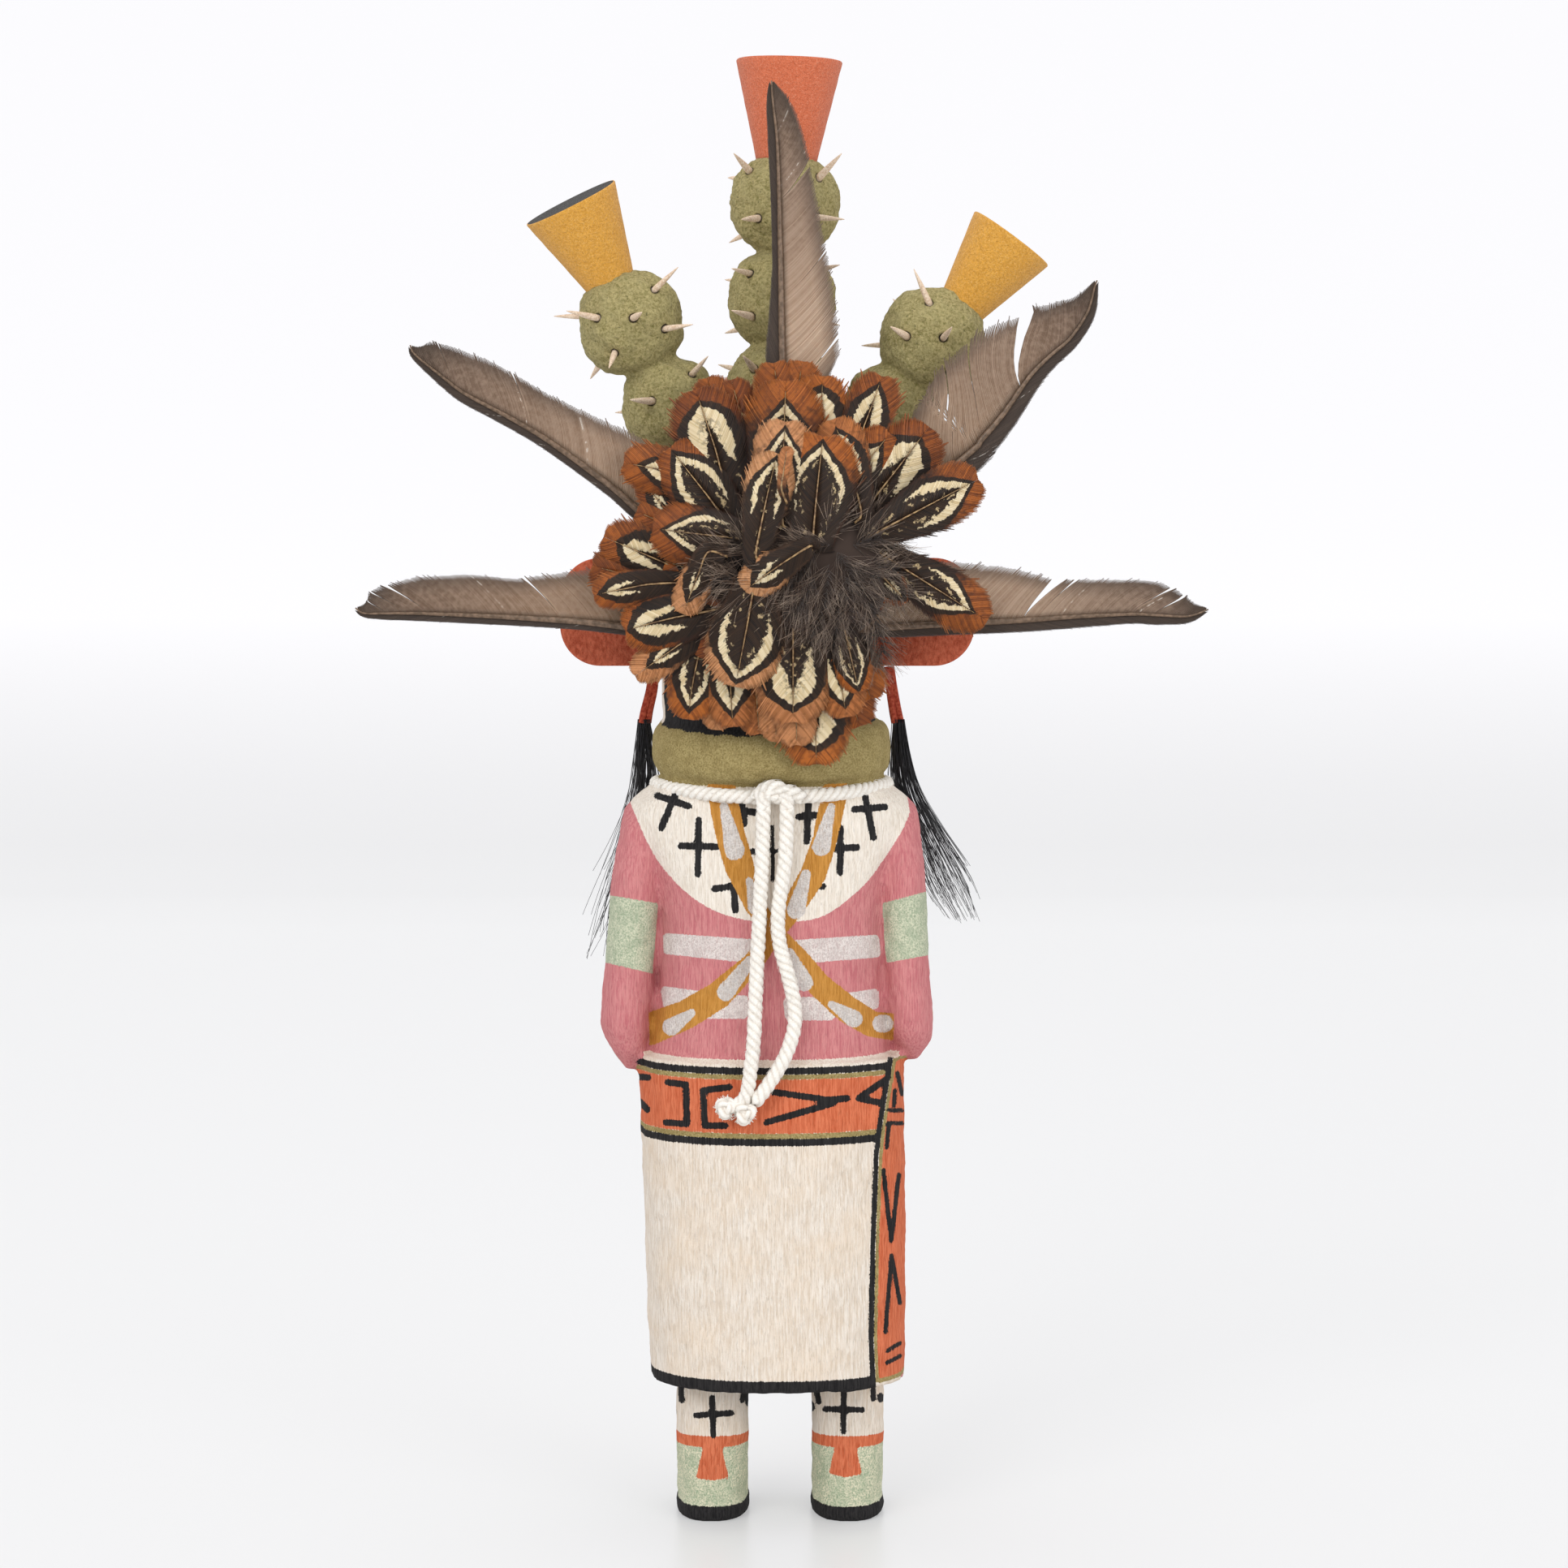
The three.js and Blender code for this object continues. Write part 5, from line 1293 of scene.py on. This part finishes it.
def wing_material():
    shader = Shader("wing_vane", roughness=0.55, specular=0.3, sheen=0.1)
    along, tone = shader.value("along"), shader.value("tone")
    broad = shader.value("broad")
    streak = shader.noise(0.8, 3)
    tan = shader.tint(tone, 0, 1, "#8A6C52", "#9F826A")
    sand = shader.tint(tone, 0, 1, "#B09178", "#CFB49B")
    tan = shader.mix(shader.value("pale"), tan, sand)
    taupe = shader.tint(tone, 0, 1, "#5A4535", "#70594A")
    vane_shade = shader.mix(shader.ramp(along, 0.25, 0.95), tan, taupe)
    vane_shade = shader.over(vane_shade, "#AB9480", streak, 0.42, 0.62, 0, 0.3)
    # Painted sheen: the vane darkens towards its outer edge, so that its middle reads as a lighter band
    edge = shader.ramp(shader.value("inset"), 0.0, 5.0, 0.7, 0.0)
    vane_shade = shader.mix(edge, vane_shade, rgb("#45352B"))
    near = shader.ramp(shader.value("beside"), 0.0, 2.2, 0.5, 0.0)
    vane_shade = shader.mix(near, vane_shade, rgb("#5D4A3C"))
    narrow = shader.tint(tone, 0, 1, "#3B2F28", "#4E4036")
    shade = shader.mix(broad, narrow, vane_shade)
    shade = shader.over(shade, "#3F3329", along, 0.86, 1.0, 0, 0.75)
    pale = shader.math("MULTIPLY", shader.ramp(tone, 0.985, 0.99), shader.ramp(streak, 0.5, 0.6, 0, 0.5))
    shader.colour(shader.mix(pale, shade, rgb("#E9E1D6")))
    return shader.material


def shaft_material(name, dark, light):
    return grained(name, (0.4, 0.45), (1.0, 2), dark, light)


def wings():
    vane_look = wing_material()
    shaft_look = shaft_material("wing_shaft", "#54412F", "#7C6450")
    for number, (name, wing) in enumerate(WINGS.items()):
        rng = np.random.default_rng(RNG_SEED + number)
        flat = np.array(wing["shaft"][::-1], float)
        away = np.linalg.norm(flat - flat[0], axis=1) / np.linalg.norm(flat[-1] - flat[0])
        bow = WING_BOW * np.maximum(0, away - 0.5) ** 2 * 4
        shaft = spline(np.stack([flat[:, 0], WING_Y - bow, flat[:, 1]], -1), SHAFT_POINTS)
        run = distances(flat)
        meshes, values = [], []
        for side, key in ((-1, "left"), (1, "right")):
            broad = max(wing[key]) > 7
            even = np.linspace(0, run[-1], 160)
            outline = np.stack([even, soften(np.interp(even, run, wing[key][::-1]), 4)], -1)
            outline = even_edge(outline[outline[:, 0] > 0.12 * run[-1]], WING_PITCH)
            slope = (1.0, 1.0, 1.7) if broad else (2.6, 2.6, 3.4)
            mesh, value = barbs(shaft, outline, slope, side, TOWARDS_EYE, rng, 8, 1.3 if broad else 0.4,
                                0.008, wing["gaps"] if broad else ())
            meshes.append(mesh)
            del value["back"]
            values.append({**value, "broad": np.full(len(mesh[0]), float(broad)),
                           "pale": np.full(len(mesh[0]), WING_PALE[name])})
        add_piece(name + "_vane", *gather(meshes), vane_look, [name], "wing_feather", merge_values(values))
        radii = np.interp(np.linspace(0, 1, SHAFT_POINTS), [0, 0.5, 1], [1.15, 0.75, 0.22])[None]
        lifted = shaft + TOWARDS_EYE * 0.5
        add_piece(name + "_shaft", *tubes(lifted[None], radii, 8, (0, 1, 0), 0.8), shaft_look, (),
                  "wing_feather")


# The bunch of pheasant feathers. For each: tip and root across and up from its middle, width, lift,
# distance from the tip to the cream mark's point, the mark's thickness, its kind, and how the rim
# runs from dark rust (0) over orange (0.5) to tan (1)

ROSETTE = (4.4, -30.4, 263.9)
CORE = (6, -4, 21, 19, 19)
PETALS = [
    (-4.9, 54.1, -1, 34.5, 12, 2, 60, 2, "rust", 0.3), (3.1, 53.9, 0.4, 34.5, 12, 2, 60, 2, "rust", 0.4),
    (8.3, 50.5, 6.8, 26, 15, 3, 5, 8, "wide", 0.5),
    (24.3, 50.5, 15.4, 27.4, 12.5, 3, 4.7, 2.8, "vee", 0.2),
    (-22.7, 49.6, -16, 31, 12, 1.5, 60, 2, "rust", 0.3),
    (-16, 49.1, -10.3, 27.4, 11, 1.5, 9, 1.5, "rust", 0.1),
    (-25.6, 46.6, -17.4, 21.7, 18, 4, 5.4, 9, "wide", 0.05),
    (-1.4, 49.3, -2.8, 18.8, 20, 5, 7.4, 2.4, "vee", 0.4),
    (10.8, 38.4, 18.3, 13.1, 12, 7, 4.4, 1.2, "vee", 0.6),
    (26.5, 34.9, 12.5, 18.8, 12, 5, 5.4, 2.4, "vee", 0.3),
    (36.8, 36.6, 19.7, 14.5, 17.5, 4, 5.8, 3.6, "wide", 0.1),
    (50.3, 22.7, 19.7, 6.7, 14.5, 8, 3.6, 2.6, "long", 0.3),
    (52.1, -15.4, 21.1, 3.9, 13.5, 6, 5.6, 2.2, "long", 0.25),
    (30.7, -10.4, 21.8, -1.1, 7, 7, 2.0, 0.8, "vee", 0.2),
    (-45.2, 26.7, -24, 22.4, 12, 3, 6.4, 2.2, "vee", 0.3),
    (-40, 22.4, -29, 9.3, 8, 2, 3.6, 1.4, "vee", 0.1),
    (-32.7, 31.3, -17.5, 12.1, 16, 5, 3.6, 2.0, "vee", 0.2),
    (-37.5, 9.3, -9.3, 6, 15, 7, 4.2, 1.9, "long", 0.2),
    (-50.6, 7.4, -25.4, -3.3, 14, 3, 6.3, 5, "wide", 0.25),
    (-53.8, -0.4, -30.4, -6.8, 12, 2, 60, 2, "rust", 0.1),
    (-52.9, -8.6, -36.8, -5.4, 9, 4, 3, 1.2, "vee", 0.3),
    (-44.1, -6.8, -25.4, -12.5, 9, 3, 3.4, 2.2, "vee", 0.5),
    (-45.2, -18.3, -21.7, -12.5, 14.5, 5, 3.2, 4.6, "wide", 0.3),
    (-28.5, -13.6, -21.7, 3.1, 8.5, 8, 5.2, 1.4, "vee", 0.9),
    (-42, -30.2, -20.4, -15.1, 9, 4, 5.9, 1.2, "vee", 0.8),
    (-27.4, -41.8, -22.8, -19.1, 13, 3, 3.4, 1.4, "vee", 0.5),
    (-19.9, -44.5, -18.8, -27.7, 9, 2, 60, 2, "rust", 0.8),
    (-15.3, -43.9, -16, -22.7, 13, 4, 4.6, 2.6, "vee", 0.6),
    (-14.9, -32.9, -9.6, -5.4, 19, 10, 2.6, 2.0, "dark", 0.9),
    (-8.5, -46.1, -9.6, -28.7, 10, 3, 60, 2, "rust", 0.6),
    (0.4, -43.4, 0.4, -8.3, 18.5, 8, 5.9, 3.4, "wide", 0.75),
    (-4.6, -47.5, -1.7, -32.2, 9, 4, 60, 2, "rust", 0.8),
    (1.4, -48.9, 1.1, -32.2, 10, 5, 60, 2, "rust", 0.8),
    (6.8, -54.5, 6.8, -32.5, 17, 3, 6, 5, "wide", 0.5),
    (14.7, -41.1, 9.7, -15.8, 12, 6, 4.4, 2.2, "vee", 0.6),
    (17.9, -34.1, 12.5, -11.5, 9, 8, 1.4, 0.7, "long", 0.5),
    (21.5, -36.8, 16.5, -22.7, 11, 3, 60, 2, "rust", 0.4),
    (18.6, -43.9, 13, -27.7, 12, 2, 60, 2, "rust", 0.2),
    (-1.4, 38.6, -2.4, 11.1, 15, 9, 3.9, 1.7, "long", 0.9),
    (8.6, 35.2, 5.4, 4, 19, 10, 4.4, 2.0, "vee", 0.5),
    (-3.4, 29.6, -9.3, 2.4, 12, 12, 2.6, 1.5, "long", 1.0),
    (-12.6, -7.4, 4.7, 4.6, 9.5, 14, 4.0, 1.3, "vee", 1.0),
    (-1, 30.8, -2.6, 19.6, 3.3, 12.4, 60, 1, "rust", 0.7),
    (-36, 1.4, -20, -4, 10, 4, 7, 1.4, "long", 0.3), (-41.5, 14, -26, 7, 11, 2.5, 60, 2, "rust", 0.2),
    (-20.5, 15.5, -8, 10, 13, 4, 60, 2, "black", 0.1), (34, 16, 20, 8, 12, 4, 60, 2, "black", 0.1),
    (-30, -6, -14, -6, 13, 6, 60, 2, "black", 0.1), (3, -28, 4, -10, 16, 5, 60, 2, "black", 0.1),
    (26, -10, 16, -4, 11, 5, 60, 2, "black", 0.1), (-24, -26, -14, -12, 12, 5, 60, 2, "black", 0.1),
    (20, 30, 14, 12, 13, 4, 60, 2, "black", 0.2),
]
# For each kind: how pointed the mark is, the rim's width at the sides, the black band inside the rim,
# how much of the mark is broken by freckles, and how quickly the marks follow each other at the sides
KINDS = {
    "rust": (0.9, 2.5, 0.1, 0.0, 0.9), "vee": (1.15, 0.6, 1.9, 0.45, 0.8),
    "wide": (0.45, 1.0, 1.7, 0.6, 0.62), "long": (1.45, 0.5, 1.6, 0.3, 0.84),
    "dark": (0.9, 0.5, 1.8, 0.9, 0.7), "black": (0.9, 1.6, 53.0, 0.0, 0.9),
}
BARB_PITCH = 0.38
PETAL_WIDER = 1.1


def petal_edge(length, wide, base, notch, rng):
    """Points (along, across) around one half of a round-ended feather, base to tip."""
    half = wide / 2
    cap = min(half * rng.uniform(1.05, 1.35), 0.5 * length)
    along = np.linspace(0.04 * length, length - cap, 50)
    share = np.clip(along / (length - cap) * 1.08, 0, 1)
    across = half * (base + (1 - base) * share * share * (3 - 2 * share))
    turn = np.linspace(math.pi / 2, 0.0, 60)[1:]
    tip_along = length - cap + cap * np.cos(turn)
    tip_across = half * np.sin(turn) ** 0.9
    tip_along = tip_along - notch * np.exp(-(tip_across / (0.14 * wide)) ** 2)
    return np.stack([np.concatenate([along, tip_along]), np.concatenate([across, tip_across])], -1)


def petal(index, rng):
    tip_x, tip_z, root_x, root_z, wide, lift, apex, cream, kind, warmth = PETALS[index]
    wide = wide * PETAL_WIDER
    middle = np.array(CORE[:2], float)
    root, tip = np.array([root_x, root_z]), np.array([tip_x, tip_z])
    inward = root - middle
    quill = middle + inward * min(11 / max(np.linalg.norm(inward), 1e-6), 0.7)
    root_lift, tip_lift = 1.7 * lift + 1, 1.25 * lift
    quill_lift = float(np.clip(root_lift, 19 * 0.2, 19 * 0.75))

    def place(flat, off):
        return (ROSETTE[0] + flat[0], ROSETTE[1] - off, ROSETTE[2] + flat[1])

    twist = rng.normal(0, 0.5)
    sunk = 0.3
    line = [place(root + (quill - root) * sunk, root_lift + (quill_lift - root_lift) * sunk)]
    line.append(place(root, root_lift))
    for share in (0.35, 0.7):
        at = root + (tip - root) * share + np.array([twist, -twist]) * share * (1 - share) * 2
        line.append(place(at, root_lift + (tip_lift - root_lift) * share ** 1.5 + 0.5))
    line.append(place(tip, tip_lift))
    shaft = spline(line, 60)
    normal = unit(TOWARDS_EYE + rng.normal(0, 0.05, 3))
    point, sides, band, freckle, pace = KINDS[kind]
    notch = wide * rng.uniform(0.02, 0.1)
    length = np.linalg.norm(np.diff(shaft, axis=0), axis=1).sum()
    base = 0.62 if lift < 6 else 0.5
    meshes, values = [], []
    for side in (-1, 1):
        edge = even_edge(petal_edge(length, wide, base, notch, rng), BARB_PITCH)
        mesh, value = barbs(shaft, edge, (0.9, 1.2, 1.35), side, normal, rng, 7, wide * 0.15, 0.024)
        from_tip = value["back"] - point * value["beside"]
        from_side = value["inset"] * pace + max(apex - band - sides, 0)
        mark = -1.5 * np.logaddexp(-from_tip / 1.5, -from_side / 1.5)
        fade = np.interp(value["back"], [0, 8, 14, 24], [1.2, 1.0, 0.75, -0.2])
        # A dark spear along the rib, widening towards the root
        spear = value["beside"] - 0.24 * (value["back"] - apex - 3.5)
        same = {"band": apex - band, "apex": apex, "freckle": freckle, "warmth": warmth}
        meshes.append(mesh)
        values.append({
            "tone": value["tone"], "mark": mark, "rim": np.minimum(value["back"], value["inset"]),
            "back": value["back"], "cream_end": apex + cream * fade, "spear": spear,
            **{key: np.full(len(mark), float(amount)) for key, amount in same.items()},
        })
    rib = ((shaft + normal * 0.12)[:54:2], np.linspace(0.36, 0.08, 27))
    return gather(meshes), merge_values(values), rib


def petal_material():
    shader = Shader("pheasant_vane", roughness=0.45, specular=0.32)
    tone, warmth = shader.value("tone"), shader.value("warmth")
    waver = shader.math("ADD", shader.ramp(shader.noise(0.5, 2), 0.3, 0.7, -0.3, 0.3),
                        shader.ramp(tone, 0, 1, -0.13, 0.13))
    mark = shader.math("ADD", shader.value("mark"), waver)
    rust = shader.tint(tone, 0, 1, "#56260C", "#8A481C")
    orange = shader.tint(tone, 0, 1, "#824314", "#B46526")
    tan = shader.tint(tone, 0, 1, "#AC764A", "#D39C6F")
    rim = shader.mix(shader.ramp(warmth, 0.0, 0.5), rust, orange)
    rim = shader.mix(shader.ramp(warmth, 0.5, 1.0), rim, tan)
    rim = shader.over(rim, "#4A2414", shader.noise(0.8, 3), 0.5, 0.68, 0, 0.45)
    rim = shader.over(rim, "#BF8354", shader.value("rim"), 0.0, 0.9, 0.2, 0.0)
    # Darker towards the feather's base: partly the base's own dark colour, partly painted shade under the
    # overlapping feathers
    far = shader.math("ADD", shader.value("back"), shader.ramp(shader.noise(0.4, 3), 0.3, 0.7, -2.5, 2.5))
    rim = shader.over(rim, "#1D1410", far, 8.0, 15.0, 0.0, 0.92)
    black = shader.tint(tone, 0, 1, "#1A0F08", "#352315")
    cream = shader.tint(tone, 0, 1, "#CDB68B", "#E8D8B6")
    dots = shader.ramp(shader.noise(1.0, 3, rough=0.6), 0.5, 0.56)
    deep = shader.ramp(shader.math("SUBTRACT", mark, shader.value("apex")), 1.0, 2.4)
    broken = shader.math("MULTIPLY", shader.math("MULTIPLY", dots, shader.value("freckle")), deep)
    cream = shader.mix(broken, cream, black)
    past_rim = shader.ramp(shader.math("SUBTRACT", mark, shader.value("band")), -0.1, 0.1)
    past_band = shader.ramp(shader.math("SUBTRACT", mark, shader.value("apex")), -0.08, 0.08)
    ragged = shader.ramp(shader.noise(1.1, 3, rough=0.6), 0.3, 0.7, -0.5, 0.5)
    inner = shader.math("ADD", shader.math("SUBTRACT", mark, shader.value("cream_end")), ragged)
    spear = shader.math("ADD", shader.value("spear"), ragged)
    past_cream = shader.math("MAXIMUM", shader.ramp(inner, -0.12, 0.12),
                             shader.ramp(spear, -0.12, 0.12, 1.0, 0.0))
    second = shader.math("MULTIPLY", shader.ramp(inner, 0.95, 1.05), shader.ramp(inner, 1.45, 1.6, 1.0, 0.0))
    second = shader.math("MULTIPLY", second, shader.ramp(shader.noise(0.45, 3), 0.54, 0.6))
    second = shader.math("MULTIPLY", second, shader.ramp(shader.value("freckle"), 0.1, 0.25))
    shade = shader.mix(past_rim, rim, black)
    shade = shader.mix(past_band, shade, cream)
    shade = shader.mix(past_cream, shade, shader.mix(second, black, rgb("#B9A27A")))
    shader.colour(shade)
    return shader.material


def down_material():
    shader = Shader("down", roughness=0.75, specular=0.2, sheen=0.15)
    pale = shader.ramp(shader.value("share"), 0.1, 0.85)
    tone = shader.noise(0.25, 2)
    fine = shader.tint(tone, 0.35, 0.65, "#735B49", "#C9B29D")
    shader.colour(shader.mix(pale, rgb("#3A2D26"), fine))
    return shader.material


def rosette():
    look = petal_material()
    ribs = []
    layers = [[], [], [], []]
    order = sorted(range(len(PETALS)), key=lambda i: PETALS[i][5])
    for place, index in enumerate(order):
        mesh, value, rib = petal(index, np.random.default_rng(100 + index))
        layers[place * 4 // len(order)].append((mesh, value))
        if PETALS[index][8] != "black":
            ribs.append(rib)
    for name, some in zip(("lowest", "low", "high", "highest"), layers):
        add_piece("pheasant_feathers_" + name, *gather([mesh for mesh, _ in some]), look,
                  ["feather_rosette"], "pheasant_feather", merge_values([value for _, value in some]))
    paths = np.array([path for path, _ in ribs])
    radii = np.array([radius for _, radius in ribs])
    add_piece("pheasant_shafts", *tubes(paths, radii, 5, (0, 1, 0)),
              shaft_material("pheasant_shaft", "#5A3E28", "#B08F62"), (), "pheasant_feather")
    x, z, rx, deep, rz = CORE
    heart = []
    for t in np.linspace(-0.48, 0.48, 24) * math.pi:
        a, b = oval_ring((rx - 1.5) * math.cos(t), (deep / 2 - 1) * math.cos(t), 48)
        heart.append(np.stack([
            ROSETTE[0] + x + a, ROSETTE[1] - deep / 2 + b,
            np.full(48, ROSETTE[2] + z + (rz - 1.5) * math.sin(t)),
        ], -1))
    points, faces = loft(heart)
    fluff = down_material()
    add_piece("pheasant_heart", points, faces, fluff, (), "pheasant_feather",
              {"share": np.zeros(len(points))})
    down(fluff)


# Downy plumes over the middle of the bunch: root across and up, direction, length and lift
PLUMES = [
    (5, 6, 205, 9, 18), (6, 3, 235, 11, 19.5), (10, 0, 262, 12, 20), (12, 3, 300, 10, 19),
    (15, 0, 335, 9, 18), (17, -4, 300, 10, 17), (20, -8, 285, 10, 14), (13, -7, 262, 11, 18),
    (6, -4, 240, 10, 19.5), (16, 5, 15, 8, 16), (9, 7, 60, 7, 17), (20, 0, 350, 8, 14),
    (2, 0, 215, 10, 20), (-14, -4, 200, 8, 12), (-17, 0, 165, 7, 11), (22, -15, 285, 9, 11),
    (12, -14, 262, 9, 15), (17, 9, 35, 7, 12), (3, -8, 225, 9, 17), (24, -4, 320, 7, 12),
    (-12, -9, 235, 8, 13), (8, -11, 250, 9, 17), (19, -20, 290, 8, 9), (10, 5, 180, 8, 19),
    (14, -3, 280, 12, 19.5), (22, 5, 10, 7, 11), (-12, 1, 172, 8, 14), (-9, 3, 150, 8, 15),
    (-13, -3, 190, 8, 15), (-8, -5, 205, 8, 17), (-2, 14, 110, 7, 14), (13, 15, 70, 7, 12),
]
PLUME_BARBS = 90


def down(material):
    rng = np.random.default_rng(77)
    parts, shares = [], []
    steps = np.linspace(0, 1, 5)
    for u, v, degrees, length, lift in PLUMES:
        heading = math.radians(degrees)
        way = np.array([math.cos(heading), 0, math.sin(heading)])
        beside = np.array([-way[2], 0, way[0]])
        place = rng.uniform(0, 1, PLUME_BARBS)
        foot = np.array([ROSETTE[0] + u, ROSETTE[1] - lift, ROSETTE[2] + v])
        start = foot + way * (place * length)[:, None]
        start[:, 1] += 1.6 * place ** 2
        side = rng.choice([-1, 1], PLUME_BARBS)[:, None] * rng.uniform(0.35, 1.0, (PLUME_BARBS, 1))
        out = unit(way * rng.uniform(0.2, 1.0, (PLUME_BARBS, 1)) + beside * side
                   + np.array([0, -1, 0]) * rng.normal(0.0, 0.25, (PLUME_BARBS, 1)))
        reach = (rng.uniform(2.4, 9.4, PLUME_BARBS) * (1 - 0.3 * place))[:, None, None]
        curl = (way * rng.uniform(0.1, 0.7, (PLUME_BARBS, 1)) + rng.normal(0, 0.2, (PLUME_BARBS, 3)))[:, None]
        centre = start[:, None] + reach * (out[:, None] * steps[:, None] + curl * steps[:, None] ** 2)
        centre[..., 1] = np.maximum(centre[..., 1], ROSETTE[1] - 21.4)
        taper = np.interp(steps, [0, 0.5, 1], [0.085, 0.07, 0.03])[None]
        half = taper * rng.uniform(0.7, 1.2, (PLUME_BARBS, 1))
        parts.append(tubes(centre, half, 3, (0.2, 0.9, 0.3)))
        paleness = np.repeat(rng.uniform(0.2, 1.1, PLUME_BARBS), len(steps))
        shares.append(on_strips(np.tile(steps, PLUME_BARBS) * paleness))
    add_piece("pheasant_down", *gather(parts), material, (), "pheasant_feather",
              {"share": np.concatenate(shares)})


# Thongs and horsehair

THONGS = {
    "ear_thong_left": [(-33.4, 5.6, 235.2), (-34, 5.9, 229), (-35.4, 6.2, 223), (-36, 6.4, 219.6)],
    "ear_thong_right": [(31.4, 5.6, 235.2), (32.2, 5.9, 229), (33.2, 6.2, 223), (33.9, 6.4, 219.6)],
}
TASSELS = {
    "hair_left": [
        (-36.1, 6.5, 220.6, 1.8), (-37, 9.5, 210, 2.9), (-38.3, 14, 199, 3.4), (-41.2, 17, 184, 3.6),
        (-45.2, 18, 168, 3), (-49.6, 18, 150, 1),
    ],
    "hair_right": [
        (34, 6.5, 220.6, 1.8), (34.6, 9.5, 210, 2.9), (36, 14, 201, 3.4), (40.2, 17, 190, 3.8),
        (46, 18, 176, 4.2), (52.5, 18, 163, 2.4),
    ],
}


# Strands in each tassel, loose ones besides, and how far its lower end tucks in front of the arm
HAIR_COUNTS = {"hair_left": (105, 20, 5.2), "hair_right": (135, 26, 0.0)}
HAIR_SPREAD = 1.4
HAIR_STEPS = 28


def thongs():
    leather = grained("thong_leather", (0.75, 0.2), (1.4, 3), "#8A2E1E", "#B4543C", 0.2)
    for name, points in THONGS.items():
        path = spline(points, 24)
        strands = np.array([path + np.array([0.7 * s, 0.2 * s, 0]) * np.linspace(0.7, 1.2, 24)[:, None]
                            for s in (-1, 1)])
        radii = np.full((2, 24), 1.0)
        add_piece(name + "_leather", *tubes(strands, radii, 8, (0, 1, 0), 0.6), leather, [name],
                  "thong_leather")


def hair():
    black = grained("horsehair", (0.35, 0.5), (1.0, 2), "#0E0D10", "#2A292E")
    for number, (name, places) in enumerate(TASSELS.items()):
        rng = np.random.default_rng(300 + number)
        line = spline(places, HAIR_STEPS)
        outward = -1 if name == "hair_left" else 1
        count, strays, tuck = HAIR_COUNTS[name]
        steps = np.linspace(0, 1, HAIR_STEPS)
        strands = np.empty((count + strays, HAIR_STEPS, 3))
        for i in range(count + strays):
            loose = i >= count
            turn, swirl = rng.uniform(0, 2 * math.pi), rng.normal(0, 0.6)
            out = math.sqrt(rng.uniform(0, 1)) * (1 + HAIR_SPREAD * steps ** 1.6)
            place = steps * rng.uniform(0.66, 1.0) * (HAIR_STEPS - 1)
            base = np.stack([np.interp(place, range(HAIR_STEPS), line[:, k]) for k in range(4)], -1)
            half = base[:, 3] * out
            bow = rng.normal(0, 0.8) * steps ** 2 + loose * rng.uniform(0.5, 5.0) * steps ** 2 * outward
            bow = bow - (not loose) * outward * tuck * rng.uniform(0.4, 1.1) * np.minimum(steps * 1.6, 1)
            strands[i] = base[:, :3] + np.stack([
                half * np.cos(turn + swirl * steps) + bow, half * 0.7 * np.sin(turn + swirl * steps),
                loose * rng.uniform(0, 4) * steps ** 2], -1)
        radii = np.repeat(np.linspace(0.11, 0.07, HAIR_STEPS)[None], count + strays, 0)
        add_piece(name + "_strands", *tubes(strands, radii, 3, (0.2, 1, 0)), black, [name], "horsehair")


camera()
studio()
sweep()
white = cotton()
free_cords(white)
neck_cord(white)
figure()
ears()
cacti()
blossoms()
wings()
rosette()
thongs()
hair()
